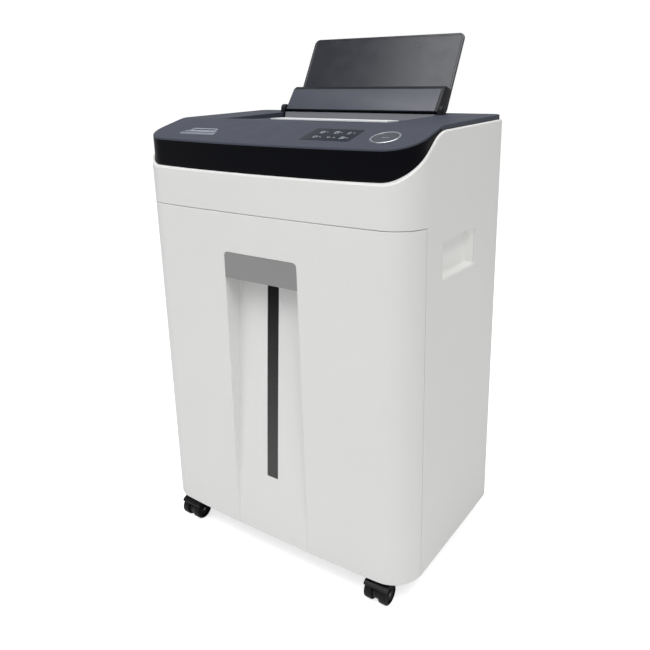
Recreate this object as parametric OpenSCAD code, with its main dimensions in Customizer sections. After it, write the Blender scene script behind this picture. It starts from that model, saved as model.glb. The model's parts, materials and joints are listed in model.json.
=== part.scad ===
// Deskside paper shredder on four twin-wheel casters, with a pull-out bin
// and a folding paper tray. +Z is up, the front faces -Y, and the origin is
// on the floor under the middle of the whole object's box.
// Inside the modules y runs from the front face towards the back; place()
// then moves each piece to its final position.

/* [Cabinet] */
// Width of the cabinet
body_w = 400; // [400:1:420]
// Depth of the cabinet from the front face's crown to the back
body_d = 247; // [247:1:260]
// Gap between the floor and the underside
base_z = 32; // [32:1:34]
// Height of the parting line between the bin and the fixed strip above it
seam_z = 463; // [462:0.5:464]
// Wall thickness of the mouldings
wall = 3; // [3:0.1:3.2]
// Radius of the vertical front corners
corner_r = 40; // [36:1:42]
// Radius of the vertical rear corners
rear_r = 15; // [12:1:18]
// Radius of the slow outward bow of the front
bow_r = 3284; // [2500:10:5000]
// Distance of the bin's side parting line behind the front
parting_y = 41; // [40:0.5:41]

/* [Top] */
// Height of the white rim along the front
rim_z = 509.5; // [508:0.5:511]
// Height of the control surface's front edge
deck_z = 543; // [542:0.5:544]
// Distance of the crease between control surface and rear deck
crease_y = 79; // [78:0.5:80]
// Rise of the control surface, per unit of depth
deck_rise = 0.3; // [0.29:0.01:0.31]
// Rise of the rear deck, per unit of depth
rear_rise = 0.041; // [0.035:0.001:0.045]
// Height of the floor of the tray recess
recess_z = 564.5; // [564:0.1:565]
// Half width of the tray recess
recess_hw = 126; // [125.5:0.5:126]
// Distance of the black cover's edge from the white rim's outer edge
cover_in = 3.4; // [3.4:0.1:3.6]

/* [Tray] */
// Lean of the open tray's front bar from the horizontal
tray_lean = 55; // [54:0.5:56]
// Extra lean of the plate behind the bar
plate_extra = 7.5; // [6.5:0.5:8]
// Length of the tray from its hinge to its tip
tray_len = 123; // [115:1:124]
// Width of the tray
tray_w = 247; // [230:1:247]
// Distance of the hinge axis behind the front
hinge_y = 211; // [210.5:0.5:211.5]
// Height of the hinge axis
hinge_z = 577; // [577:0.5:578]

/* [Paper path] */
// Width of the paper slot
slot_w = 224; // [218:1:226]
// Distance of the slot's middle behind the front
slot_y = 176; // [175.5:0.5:176.5]
// Distance between the two cutter axes
cutter_gap = 30; // [30:0.1:30.1]
// Height of the cutter axes
cutter_z = 508; // [507:0.5:509]
// Outer radius of the cutter discs
disc_r = 17; // [16:0.5:17]
// Distance between neighbouring discs on one shaft
disc_pitch = 8; // [8:0.1:8.1]

/* [Bin] */
// Half width of the front channel at its top
channel_top_hw = 55.5; // [50:0.5:60]
// Half width of the front channel at its bottom
channel_bottom_hw = 59; // [50:0.5:64]
// Height of the channel's top edge
channel_z = 414; // [410:1:418]
// Depth of the channel at its top
channel_depth = 27; // [22:1:27]
// Height of the pull plate across the channel's top
pull_h = 32; // [28:1:36]
// Half width of the tub
tub_hw = 173; // [165:1:173]
// Half width of the level window
window_hw = 9; // [6:0.25:10]

/* [Controls] */
// Sideways place of the round button
button_x = 150; // [145:1:152]
// Radius of the round button
button_r = 14; // [12:0.5:14.5]
// Sideways place of the display's middle
display_x = 81; // [78:1:84]

/* [Casters] */
// Radius of a caster wheel
wheel_r = 13; // [12:0.5:13]
// Sideways place of the caster stems
caster_x = 158; // [155:1:160]
// Forward offset of the wheels from the stem
trail = 12; // [11:0.5:12]

/* [Hidden] */
$fn = 64;

// shared gaps
seam_gap = 0.6;         // visible joint between the bin and the cabinet
run_gap = 0.05;         // running clearance of a shaft in its bore
big = 900;              // longer than the object, for clipping shapes

// heights that follow from the driving dimensions
crease_z = deck_z + deck_rise * crease_y;
deck_tilt = atan(deck_rise);
rim_low_y = 5;          // where the rim starts to climb
rim_high_y = 69;        // where it meets the nearly level stretch
rim_high_z = rim_z + 51.5;
rim_rise = 0.038;

// tray in its own frame: u along the bar, v out of the bar's front face, hinge at zero
bar_v = 3.2;            // front face of the bar
tip_v = -3;             // front face of the plate at its tip
plate_t = 3.5;
plate_len = 113;
tray_back_y = hinge_y + tray_len * cos(tray_lean) - tip_v * sin(tray_lean)
    + plate_t * sin(tray_lean + plate_extra);
front_y = -tray_back_y / 2;
cover_wall = 2.6;

// cutter block
plate_x = 118;          // inner face of each side plate
plate_th = 4;
front_axis_y = slot_y - cutter_gap / 2;
rear_axis_y = slot_y + cutter_gap / 2;
core_r = 12;
shaft_r = 6;
disc_t = 3.8;
disc_count = 28;
bush_r = 10;
recess_end_y = 222;
ear_x = tray_w / 2 + 0.7;
slot_front_y = slot_y - 10.5;
slot_back_y = slot_y + 10;
lip_hw = 92;            // white plate in front of the slot

// gear train
gear_m = 1.5;           // module of the cutter gears
motor_m = 1.25;         // module of the motor stage
sync_teeth = 20;
drive_teeth = 40;
idler_small = 14;
idler_big = 48;
pinion_teeth = 12;
motor_y = 88;
motor_z = 505;
motor_r = 29;
motor_shaft_r = 4;
reach_a = motor_m * (pinion_teeth + idler_big) / 2;
reach_b = gear_m * (drive_teeth + idler_small) / 2;
motor_gap = norm([front_axis_y - motor_y, cutter_z - motor_z]);
motor_dir = atan2(cutter_z - motor_z, front_axis_y - motor_y);
idler_swing = acos((reach_a * reach_a + motor_gap * motor_gap - reach_b * reach_b)
    / (2 * reach_a * motor_gap));
idler_y = motor_y + reach_a * cos(motor_dir + idler_swing);
idler_z = motor_z + reach_a * sin(motor_dir + idler_swing);

// tooth phases, so that every pair is in mesh at rest
sync_phase = 0;
rear_phase = mesh_phase(0, sync_phase, sync_teeth, sync_teeth);
drive_phase = 0;
to_idler = atan2(idler_z - cutter_z, idler_y - front_axis_y);
small_phase = mesh_phase(to_idler, drive_phase, drive_teeth, idler_small);
big_phase = 0;
to_motor = atan2(motor_z - idler_z, motor_y - idler_y);
pinion_phase = mesh_phase(to_motor, big_phase, idler_big, pinion_teeth);

// casters and bin
boss_top = 46;
tub_floor_z = 46.3;
tub_top_z = 452;
tub_front_y = 31;
tub_back_y = 236;
tub_wall = 2.5;
window_low_z = 119;
window_high_z = 378;
grip_y = [79.5, 167];
grip_z = [397, 442.5];
grip_depth = 14;
caster_front_y = 26;
caster_rear_y = 221;
wheel_in = 5;           // inner face of a wheel, from the caster's middle
wheel_w = 10.6;
hood_hw = wheel_in + wheel_w + 0.8;
axle_hw = wheel_in + wheel_w - 0.6;

// ---------- helpers ----------

// Angle of a tooth of the second gear that meshes with the first.
function mesh_phase(dir, phase, teeth1, teeth2) =
    dir + 180 - 180 / teeth2 + (dir - phase) * teeth1 / teeth2;

// Arc of n+1 points that rounds the corner p between a and b.
function round_corner(a, p, b, r, n = 8) =
    let (
        u = (a - p) / norm(a - p),
        v = (b - p) / norm(b - p),
        half = acos(u * v) / 2,
        c = p + (u + v) / norm(u + v) * r / sin(half),
        s = p + u * r / tan(half) - c,
        e = p + v * r / tan(half) - c,
        a0 = atan2(s[1], s[0]),
        turn = atan2(s[0] * e[1] - s[1] * e[0], s * e)
    )
    [for (i = [0:n]) c + r * [cos(a0 + turn * i / n), sin(a0 + turn * i / n)]];

// Moves a piece from the front-based frame to the object's frame.
module place() {
    translate([0, front_y, 0]) children();
}

// Extrudes a side profile, drawn as [distance from front, height], along X.
module across(w, x0 = 0) {
    translate([x0 - w / 2, 0, 0])
        rotate([90, 0, 90])
            linear_extrude(w) children();
}

// Rod along X between x0 and x1 at the given depth and height.
module rod(r, x0, x1, y, z) {
    translate([x0, y, z])
        rotate([0, 90, 0])
            cylinder(r = r, h = x1 - x0);
}

// Cabinet outline seen from above, inset by d.
module plan(d = 0) {
    half = body_w / 2;
    turn = asin((half - corner_r) / (bow_r - corner_r));
    corner_y = bow_r - (bow_r - corner_r) * cos(turn);
    tangent_x = (bow_r - d) * sin(turn);
    intersection() {
        translate([0, bow_r]) circle(r = bow_r - d, $fn = 720);
        translate([-tangent_x, 0]) square([2 * tangent_x, body_d - d]);
    }
    translate([-half + d, corner_y])
        square([2 * (half - d), body_d - rear_r - corner_y]);
    translate([-half + rear_r, corner_y])
        square([2 * (half - rear_r), body_d - d - corner_y]);
    for (side = [-1, 1]) {
        translate([side * (half - corner_r), corner_y]) circle(r = corner_r - d);
        translate([side * (half - rear_r), body_d - rear_r]) circle(r = rear_r - d);
    }
}

// Slab of the cabinet outline between two heights.
module slab(z0, z1, d = 0) {
    translate([0, 0, z0]) linear_extrude(z1 - z0) plan(d);
}

// Everything below the white rim, raised by dz.
module below_rim(dz = 0) {
    low = [rim_low_y, rim_z + dz];
    high = [rim_high_y, rim_high_z + dz];
    end = [body_d + 20, rim_high_z + rim_rise * (body_d + 20 - rim_high_y) + dz];
    across(big) polygon(concat(
        [[-20, rim_z + dz]],
        round_corner([-20, rim_z + dz], low, high, 16),
        round_corner(low, high, end, 48),
        [end, [body_d + 20, -10], [-20, -10]]
    ));
}

// Everything below the deck's upper surface, raised by dz.
module below_deck(dz = 0) {
    start = [-20, deck_z - 20 * deck_rise + dz];
    crease = [crease_y, crease_z + dz];
    end = [body_d + 20, crease_z + rear_rise * (body_d + 20 - crease_y) + dz];
    across(big) polygon(concat(
        [start],
        round_corner(start, crease, end, 60),
        [end, [body_d + 20, -10], [-20, -10]]
    ));
}

// Local frame of the sloping control surface: y up the slope, z outwards.
module on_deck() {
    translate([0, 0, deck_z]) rotate([deck_tilt, 0, 0]) children();
}

// Spur gear along X with straight-sided teeth and a bore.
module gear(m, teeth, phase, width, bore) {
    pitch_r = m * teeth / 2;
    root_r = pitch_r - 1.15 * m;
    tip_r = pitch_r + 0.85 * m;
    step = 360 / teeth;
    difference() {
        rotate([90, 0, 90]) linear_extrude(width) polygon([
            for (i = [0:teeth - 1], k = [[-0.33, root_r], [-0.11, tip_r], [0.11, tip_r], [0.33, root_r]])
                k[1] * [cos(phase + step * (i + k[0])), sin(phase + step * (i + k[0]))]
        ]);
        translate([-1, 0, 0]) rotate([0, 90, 0]) cylinder(r = bore, h = width + 2);
    }
}

// Depth of the front channel at height z.
function channel_at(z) =
    0.8 + (channel_depth - 0.8) * pow(max(0, z - base_z) / (channel_z - base_z), 1.12);

// Side profile of the front channel, deepened by d.
module channel_profile(d = 0) {
    steps = 14;
    polygon(concat(
        [[-10, base_z - 10], [channel_at(base_z) + d, base_z - 10]],
        [for (i = [0:steps]) let (z = base_z + (channel_z - base_z) * i / steps) [channel_at(z) + d, z]],
        [[channel_depth + d, channel_z + d], [-10, channel_z + d]]
    ));
}

// Front channel as a solid, widened and deepened by d.
module channel_solid(d = 0) {
    top_l = [-channel_top_hw - d, channel_z + d];
    top_r = [channel_top_hw + d, channel_z + d];
    low_l = [-channel_bottom_hw - d, base_z - 10];
    low_r = [channel_bottom_hw + d, base_z - 10];
    intersection() {
        across(big) channel_profile(d);
        translate([0, 60, 0]) rotate([90, 0, 0]) linear_extrude(80) polygon(concat(
            [low_r],
            round_corner(low_r, top_r, top_l, 5 + d),
            round_corner(top_r, top_l, low_l, 5 + d),
            [low_l]
        ));
    }
}

// ---------- cabinet ----------

module cabinet_shell() {
    color("white") place() difference() {
        slab(base_z, rim_z + 70);
        slab(base_z - 1, rim_z + 71, wall);
        difference() {
            slab(base_z, rim_z + 80, -5);
            below_rim();
        }
        translate([-big / 2, -10, base_z - 1])
            cube([big, parting_y + seam_gap + 10, seam_z - base_z + 1]);
        translate([-big / 2, grip_y[0], grip_z[0]])
            cube([big, grip_y[1] - grip_y[0], grip_z[1] - grip_z[0]]);
        translate([-124, body_d - 10, 480]) cube([248, 20, 62]);
    }
}

module base_plate() {
    color("dimgray") place() difference() {
        union() {
            intersection() {
                slab(base_z, base_z + 4, wall);
                translate([-big / 2, parting_y + 1, 0]) cube(big);
            }
            intersection() {
                slab(base_z, base_z + 4, wall + seam_gap);
                translate([-big / 2, 6, 0]) cube([big, parting_y - 4, big]);
            }
            for (x = [-caster_x, caster_x], y = [caster_front_y, caster_rear_y])
                translate([x, y, base_z]) cylinder(r = 9, h = boss_top - base_z);
            for (x = [-120, 120])
                translate([x - 4, 44, base_z]) cube([8, tub_back_y - 44, boss_top - base_z]);
        }
        for (x = [-caster_x, caster_x], y = [caster_front_y, caster_rear_y])
            translate([x, y, base_z - 1]) cylinder(r = 4 + run_gap, h = 20);
    }
}

module rear_panel() {
    color("whitesmoke") place() difference() {
        translate([-132, body_d, 472]) cube([264, 2.5, 78]);
        for (i = [0:9], row = [0:1])
            translate([10 + i * 11, body_d - 1, 486 + row * 30]) cube([5, 5, 22]);
        translate([-107, body_d - 1, 487]) cube([26, 5, 18]);
        translate([-62, body_d - 1, 483]) cube([18, 5, 26]);
        for (x = [-126, 126], z = [478, 544])
            translate([x, body_d - 1, z]) rotate([-90, 0, 0]) cylinder(r = 1.8, h = 5);
    }
}

module rear_screws() {
    color("silver") place() for (x = [-126, 126], z = [478, 544])
        translate([x, body_d + 2.5, z]) rotate([-90, 0, 0]) difference() {
            union() {
                cylinder(r = 3.4, h = 1.8);
                translate([0, 0, -2.5]) cylinder(r = 1.75, h = 3);
            }
            translate([-2.5, -0.4, 0.9]) cube([5, 0.8, 2]);
            translate([-0.4, -2.5, 0.9]) cube([0.8, 5, 2]);
        }
}

module chassis_plate() {
    color("lightgray") place() difference() {
        intersection() {
            slab(seam_z + 3, seam_z + 6, wall);
            translate([-big / 2, 46, 0]) cube(big);
        }
        translate([-114, slot_y - 36, seam_z]) cube([228, 72, 20]);
    }
}

module grip(side) {
    x_in = body_w / 2 - wall - grip_depth;
    y0 = grip_y[0];
    y1 = grip_y[1];
    difference() {
        translate([side > 0 ? x_in : -x_in - grip_depth, y0 - 2, grip_z[0] - 2])
            cube([grip_depth, y1 - y0 + 4, grip_z[1] - grip_z[0] + 4]);
        translate([side > 0 ? x_in + 2 : -x_in - grip_depth - 2, y0, grip_z[0]])
            cube([grip_depth, y1 - y0, grip_z[1] - grip_z[0]]);
    }
}
module grip_left() { color("gainsboro") place() grip(-1); }
module grip_right() { color("gainsboro") place() grip(1); }

// ---------- top ----------

module top_cover() {
    deck_t = 3;
    color("slategray") place() difference() {
        union() {
            difference() {
                union() {
                    cover_walls(deck_t);
                    translate([-recess_hw - 3, crease_y - 3, recess_z - deck_t])
                        cube([2 * recess_hw + 6, recess_end_y - crease_y + 6, deck_t + 1]);
                }
                across(2 * recess_hw) polygon([
                    [crease_y, crease_z], [crease_y + 56, recess_z], [recess_end_y, recess_z],
                    [recess_end_y, recess_z + 60], [crease_y, recess_z + 60]
                ]);
            }
            for (side = [-1, 1]) hinge_ear(side);
        }
        translate([-slot_w / 2, slot_front_y - 2.5, recess_z - 20])
            cube([slot_w, slot_back_y - slot_front_y + 5, 40]);
        on_deck() {
            translate([button_x, 40.5, -20]) cylinder(r = button_r + 0.4, h = 40);
            translate([button_x, 40.5, -1]) cylinder(r = button_r + 3, h = 10);
            translate([display_x - 33, 23, -1.5]) cube([66, 36, 10]);
        }
        for (side = [-1, 1])
            rod(2.5 + run_gap, side > 0 ? ear_x : -ear_x - 7, side > 0 ? ear_x + 7 : -ear_x, hinge_y, hinge_z);
    }
}

// Deck with the wall round it; the wall reaches down inside the white rim,
// and the front band takes its place up to the crease.
module cover_walls(deck_t) {
    difference() {
        intersection() {
            slab(rim_z - 10, crease_z + 20, cover_in);
            below_deck();
        }
        intersection() {
            slab(rim_z - 30, crease_z + 20, cover_in + cover_wall);
            below_deck(-deck_t);
        }
        below_rim(-8);
        intersection() {
            below_deck(-deck_t);
            translate([-big / 2, -20, 0]) cube([big, crease_y - 3 + 20, big]);
        }
    }
    // walls of the tray recess
    difference() {
        intersection() {
            translate([-recess_hw - 3, crease_y - 3, recess_z - deck_t])
                cube([2 * recess_hw + 6, recess_end_y - crease_y + 6, 60]);
            below_deck(-1);
        }
        translate([-recess_hw, crease_y - 1, recess_z - deck_t - 1])
            cube([2 * recess_hw, recess_end_y - crease_y + 1, 70]);
    }
}

// Ear that carries one end of the tray's hinge.
module hinge_ear(side) {
    x0 = side > 0 ? ear_x : -ear_x - 7;
    rod(6, x0, x0 + 7, hinge_y, hinge_z);
    translate([x0, hinge_y - 7, hinge_z - 10]) cube([7, 14, 10]);
}

module front_band() {
    color("black") place() difference() {
        intersection() {
            slab(rim_z - 10, crease_z, cover_in);
            below_deck(-3.2);
            translate([-big / 2, -10, 0]) cube([big, crease_y - 3.4 + 10, big]);
        }
        slab(rim_z - 30, crease_z + 10, cover_in + cover_wall);
        below_rim(-6);
    }
}

module display_window() {
    color("black") place() on_deck()
        translate([display_x - 33, 23, -1.5]) cube([66, 36, 1.6]);
}

module button_ring() {
    color("silver") place() on_deck() translate([button_x, 40.5, -1]) difference() {
        cylinder(r = button_r + 3, h = 1.5);
        translate([0, 0, -1]) cylinder(r = button_r + 0.4, h = 4);
    }
}

module button_cap() {
    color("dimgray") place() on_deck() translate([button_x, 40.5, 0]) {
        translate([0, 0, -3]) cylinder(r = button_r, h = 3);
        translate([0, 0, -9]) cylinder(r = 3, h = 7);
    }
}

// White plate in front of the slot, with the slot's front guide below it.
module entry_lip() {
    color("white") place() {
        translate([-lip_hw, slot_front_y - 28, recess_z]) cube([2 * lip_hw, 28, 1.5]);
        translate([-lip_hw, slot_front_y - 2, recess_z - 26]) cube([2 * lip_hw, 2, 26.5]);
    }
}

// Ramp behind the slot, with the slot's rear guide below it.
module chute_plate() {
    color("gray") place() {
        intersection() {
            across(248) polygon([
                [slot_back_y, recess_z], [slot_back_y, recess_z + 0.5], [206, recess_z + 8],
                [206, recess_z]
            ]);
            linear_extrude(big) polygon([
                [-108, slot_back_y], [108, slot_back_y], [123, 206], [-123, 206]
            ]);
        }
        translate([-108, slot_back_y, recess_z - 26]) cube([216, 2, 26]);
    }
}

// ---------- tray ----------

// Frame of the open tray: y along its length, z towards the reader's side.
module on_tray() {
    translate([0, hinge_y, hinge_z]) rotate([tray_lean, 0, 0]) children();
}

// Front face of the plate, as v at a given u.
function plate_v(u) = tip_v - (tray_len - u) * tan(plate_extra);

module tray_bar() {
    low_u = tray_len - plate_len * cos(plate_extra);
    color("slategray") place() on_tray() difference() {
        across(tray_w) polygon([
            [-3.5, bar_v], [31, bar_v], [37.5, -0.8], [41, plate_v(41)], [low_u, plate_v(low_u)], [-4.2, -3.5]
        ]);
        for (side = [-1, 1])
            rod(2.5, side > 0 ? 110 : -tray_w / 2 - 1, side > 0 ? tray_w / 2 + 1 : -110, 0, 0);
    }
}

module tray_plate() {
    tip_r = 8;
    color("dimgray") place() on_tray() translate([0, tray_len, tip_v]) rotate([plate_extra, 0, 0])
        translate([0, -plate_len, -plate_t]) linear_extrude(plate_t) {
            translate([-tray_w / 2, 0]) square([tray_w, plate_len - tip_r]);
            translate([-tray_w / 2 + tip_r, 0]) square([tray_w - 2 * tip_r, plate_len]);
            for (side = [-1, 1])
                translate([side * (tray_w / 2 - tip_r), plate_len - tip_r]) circle(r = tip_r);
        }
}

module tray_pins() {
    color("silver") place()
        for (side = [-1, 1])
            rod(2.5, side > 0 ? 110 : -ear_x - 6.5, side > 0 ? ear_x + 6.5 : -110, hinge_y, hinge_z);
}

// ---------- cutter block ----------

// Side plate of the cutter block, x0 being its lower face.
module cutter_plate(x0) {
    difference() {
        translate([x0, 0, 0]) rotate([90, 0, 90]) linear_extrude(plate_th) polygon([
            [58, seam_z + 6], [214, seam_z + 6], [214, 540], [206, 546], [128, 546],
            [96, 540], [66, 534], [58, 520]
        ]);
        for (y = [front_axis_y, rear_axis_y]) rod(bush_r, x0 - 1, x0 + plate_th + 1, y, cutter_z);
        for (p = rod_places()) rod(2.5, x0 - 1, x0 + plate_th + 1, p[0], p[1]);
        if (x0 > 0) {
            rod(9, x0 - 1, x0 + plate_th + 1, motor_y, motor_z);
            rod(4, x0 - 1, x0 + plate_th + 1, idler_y, idler_z);
        }
    }
}
module cutter_plate_left() { color("silver") place() cutter_plate(-plate_x - plate_th); }
module cutter_plate_right() { color("silver") place() cutter_plate(plate_x); }

function rod_places() = [[135, 537], [207, 535], [64, 480]];

module tie_rods() {
    color("gray") place() for (p = rod_places()) {
        rod(4, -plate_x, plate_x, p[0], p[1]);
        rod(2.5, -plate_x - plate_th - 1.5, plate_x + plate_th + 1.5, p[0], p[1]);
    }
}

module shaft_bushes() {
    color("goldenrod") place()
        for (y = [front_axis_y, rear_axis_y], side = [-1, 1]) difference() {
            rod(bush_r, side > 0 ? plate_x - 1.5 : -plate_x - 5.5, side > 0 ? plate_x + 5.5 : -plate_x + 1.5,
                y, cutter_z);
            rod(shaft_r + run_gap, -200, 200, y, cutter_z);
        }
}

// Cutter roller along X: a core with discs from x0 on, three hook grooves and a shaft.
module cutter(x0, shaft_end, y) {
    half_t = disc_t / 2;
    profile = concat(
        [[0, -plate_x - 8], [shaft_r, -plate_x - 8], [shaft_r, -plate_x + 2.5], [core_r, -plate_x + 2.5]],
        [for (i = [0:disc_count - 1], k = [[0, -1], [1, -1], [1, 1], [0, 1]])
            [core_r + k[0] * (disc_r - core_r), x0 + i * disc_pitch + k[1] * half_t]],
        [[core_r, plate_x - 2.5], [shaft_r, plate_x - 2.5], [shaft_r, shaft_end], [0, shaft_end]]
    );
    translate([0, y, cutter_z]) difference() {
        rotate([0, 90, 0]) rotate_extrude() polygon(profile);
        for (a = [0, 120, 240])
            rotate([a, 0, 0]) translate([-plate_x + 2, -2, 14]) cube([2 * plate_x - 4, 3, 10]);
    }
}
module front_cutter() { color("silver") place() cutter(-108, 149.5, front_axis_y); }
module rear_cutter() { color("silver") place() cutter(-104, 135.5, rear_axis_y); }

// Stripper comb; side is -1 in front of the front cutter, 1 behind the rear one.
module comb(side, first_x) {
    axis_y = slot_y + side * cutter_gap / 2;
    bar_y = axis_y + side * (disc_r + 1 + 5);
    color("khaki") place() difference() {
        union() {
            translate([-plate_x, bar_y - 5, 496]) cube([2 * plate_x, 10, 24]);
            for (i = [0:disc_count - 2])
                translate([first_x + i * disc_pitch - 1.6, min(axis_y, bar_y), 501])
                    cube([3.2, abs(bar_y - axis_y), 14]);
        }
        rod(core_r + 0.6, -plate_x - 1, plate_x + 1, axis_y, cutter_z);
    }
}
module front_comb() { comb(-1, -104); }
module rear_comb() { comb(1, -100); }

// ---------- drive ----------

module gear_at(m, teeth, phase, x0, width, bore, y, z) {
    translate([x0, y, z]) gear(m, teeth, phase, width, bore);
}
module front_gear() {
    color("dimgray") place()
        gear_at(gear_m, sync_teeth, sync_phase, 124.5, 9.5, shaft_r, front_axis_y, cutter_z);
}
module rear_gear() {
    color("dimgray") place()
        gear_at(gear_m, sync_teeth, rear_phase, 124.5, 9.5, shaft_r, rear_axis_y, cutter_z);
}
module drive_gear() {
    color("gray") place()
        gear_at(gear_m, drive_teeth, drive_phase, 138, 10, shaft_r, front_axis_y, cutter_z);
}
module idler_gear() {
    bore = motor_shaft_r + run_gap;
    color("ivory") place() {
        gear_at(gear_m, idler_small, small_phase, 136.5, 13.5, bore, idler_y, idler_z);
        gear_at(motor_m, idler_big, big_phase, 150, 8, bore, idler_y, idler_z);
    }
}
module idler_axle() {
    color("silver") place() {
        rod(4, plate_x, 160, idler_y, idler_z);
        rod(6, 158.5, 160.5, idler_y, idler_z);
    }
}
module motor_body() {
    color("darkgray") place() difference() {
        union() {
            rod(motor_r, 28, plate_x, motor_y, motor_z);
            rod(motor_r - 7, 18, 29, motor_y, motor_z);
        }
        rod(motor_shaft_r + run_gap, 60, plate_x + 1, motor_y, motor_z);
    }
}
module motor_pinion() {
    color("silver") place() {
        rod(motor_shaft_r, 61, 159.5, motor_y, motor_z);
        gear_at(motor_m, pinion_teeth, pinion_phase, 150, 8, motor_shaft_r - 0.5, motor_y, motor_z);
    }
}

// ---------- electrics ----------

module control_board() {
    color("darkgreen") place() on_deck() difference() {
        union() {
            translate([display_x - 40, 20, -12.5]) cube([132, 42, 1.6]);
            translate([display_x - 30, 26, -11]) cube([58, 30, 8]);
            translate([button_x - 3.5, 37, -11]) cube([7, 7, 0.7]);
        }
        translate([display_x - 36, 24, -15]) cylinder(r = 1.6, h = 8);
    }
}
module power_board() {
    color("darkgreen") place() {
        translate([-188, 70, seam_z + 12]) cube([58, 120, 1.6]);
        translate([-182, 84, seam_z + 13]) cube([34, 36, 28]);
        translate([-150, 140, seam_z + 13]) cylinder(r = 11, h = 32);
        translate([-178, 150, seam_z + 13]) cube([20, 24, 18]);
        for (x = [-184, -134], y = [75, 185])
            translate([x, y, seam_z + 6]) cylinder(r = 3, h = 6.5);
    }
}
module power_inlet() {
    color("black") place() difference() {
        union() {
            translate([-109, body_d + 2.5, 485]) cube([30, 2, 22]);
            translate([-106.6, body_d - 14, 487.4]) cube([25.2, 17, 17.2]);
        }
        translate([-104.6, body_d - 10, 489.4]) cube([21.2, 20, 13.2]);
    }
}
module switch_frame() {
    color("black") place() difference() {
        union() {
            translate([-64, body_d + 2.5, 481]) cube([22, 2, 30]);
            translate([-61.6, body_d - 14, 483.4]) cube([17.2, 17, 25.2]);
        }
        translate([-59.6, body_d - 12, 485.4]) cube([13.2, 30, 21.2]);
        rod(1.5 + run_gap, -61, -45, body_d - 3, 496);
    }
}
module rocker() {
    color("darkred") place() {
        translate([0, body_d - 3, 496]) rotate([-8, 0, 0]) translate([-58.8, 0, 0])
            rotate([90, 0, 90]) linear_extrude(11.6)
                polygon([[-3.5, -6], [-3.5, 6], [8, 9.2], [6.2, 0], [8, -9.2]]);
        rod(1.5, -60.8, -45.2, body_d - 3, 496);
    }
}
module bin_sensor() {
    color("darkslategray") place() translate([-10, 239, 400]) cube([20, body_d - wall - 239, 12]);
}
module paper_sensor() {
    color("darkslategray") place()
        translate([-8, slot_front_y - 14, recess_z - 15]) cube([16, 10, 12]);
}

// ---------- bin ----------

module bin_front() {
    top = seam_z - seam_gap;
    color("white") place() difference() {
        union() {
            intersection() {
                difference() {
                    slab(base_z + 0.3, top);
                    slab(base_z - 1, top + 1, wall);
                }
                translate([-big / 2, -10, 0]) cube([big, parting_y + 10, big]);
            }
            intersection() {
                slab(top - 3, top);
                translate([-big / 2, -10, 0]) cube([big, tub_front_y + 10, big]);
            }
            intersection() {
                slab(base_z + 0.3, top);
                channel_solid(3);
            }
            for (p = screw_places())
                translate([p[0], tub_front_y, p[1]]) rotate([90, 0, 0]) cylinder(r = 5, h = 25);
        }
        channel_solid();
        translate([-window_hw, 0, window_low_z])
            cube([2 * window_hw, 40, window_high_z - window_low_z]);
        for (p = screw_places())
            translate([p[0], tub_front_y + 1, p[1]]) rotate([90, 0, 0]) cylinder(r = 2, h = 14);
    }
}

// Grey plate across the top of the channel; fingers reach up behind it.
module pull_plate() {
    color("gray") place() intersection() {
        channel_solid(-0.1);
        translate([-big / 2, 0.8, channel_z - pull_h]) cube([big, 3.2, big]);
    }
}

function screw_places() = [[-130, 110], [130, 110], [-130, 400], [130, 400]];

module bin_tub() {
    w = 2 * tub_hw;
    color("gray") place() difference() {
        translate([-tub_hw, tub_front_y, tub_floor_z])
            cube([w, tub_back_y - tub_front_y, tub_top_z - tub_floor_z]);
        translate([-tub_hw + tub_wall, tub_front_y + tub_wall, tub_floor_z + tub_wall])
            cube([w - 2 * tub_wall, tub_back_y - tub_front_y - 2 * tub_wall, big]);
        translate([-window_hw - 1.25, tub_front_y - 1, window_low_z - 4])
            cube([2 * window_hw + 2.5, 5, window_high_z - window_low_z + 8]);
        for (p = screw_places())
            translate([p[0], tub_front_y + 4, p[1]]) rotate([90, 0, 0]) cylinder(r = 2, h = 6);
    }
}

module bin_screws() {
    color("silver") place() for (p = screw_places())
        translate([p[0], tub_front_y + tub_wall, p[1]]) rotate([90, 0, 0]) {
            cylinder(r = 2, h = 14);
            translate([0, 0, -2]) cylinder(r = 4, h = 2);
        }
}

// Curved strip that follows the channel's floor.
module bin_window() {
    steps = 8;
    low = window_low_z + 0.2;
    high = window_high_z - 0.2;
    heights = [for (i = [0:steps]) low + (high - low) * i / steps];
    color("dimgray") place() across(2 * window_hw - 0.2) polygon(concat(
        [for (z = heights) [channel_at(z) + 0.8, z]],
        [for (i = [0:steps]) let (z = heights[steps - i]) [channel_at(z) + 2.8, z]]
    ));
}

// ---------- casters ----------

// Swivelling hood: stem, flange, web between the wheels and a fender over them.
module caster_hood(x, y) {
    color("black") place() translate([x, y, 0]) {
        difference() {
            union() {
                translate([0, 0, base_z - 4]) cylinder(r = 9, h = 3.7);
                translate([0, 0, base_z - 2]) cylinder(r = 4, h = boss_top - base_z + 1);
                translate([-4.4, -trail, wheel_r]) rotate([0, 90, 0]) cylinder(r = 10, h = 8.8);
                translate([-4.4, -trail, wheel_r]) cube([8.8, trail + 7, base_z - 2 - wheel_r]);
                intersection() {
                    difference() {
                        rod(16, -hood_hw, hood_hw, -trail, wheel_r);
                        rod(14.3, -20, 20, -trail, wheel_r);
                    }
                    translate([-20, -trail - 11, wheel_r + 3]) cube([40, 40, 40]);
                }
            }
            rod(2.5, -20, 20, -trail, wheel_r);
        }
    }
}
module caster_axle(x, y) {
    color("silver") place() translate([x, y, 0]) rod(2.5, -axle_hw, axle_hw, -trail, wheel_r);
}
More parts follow.
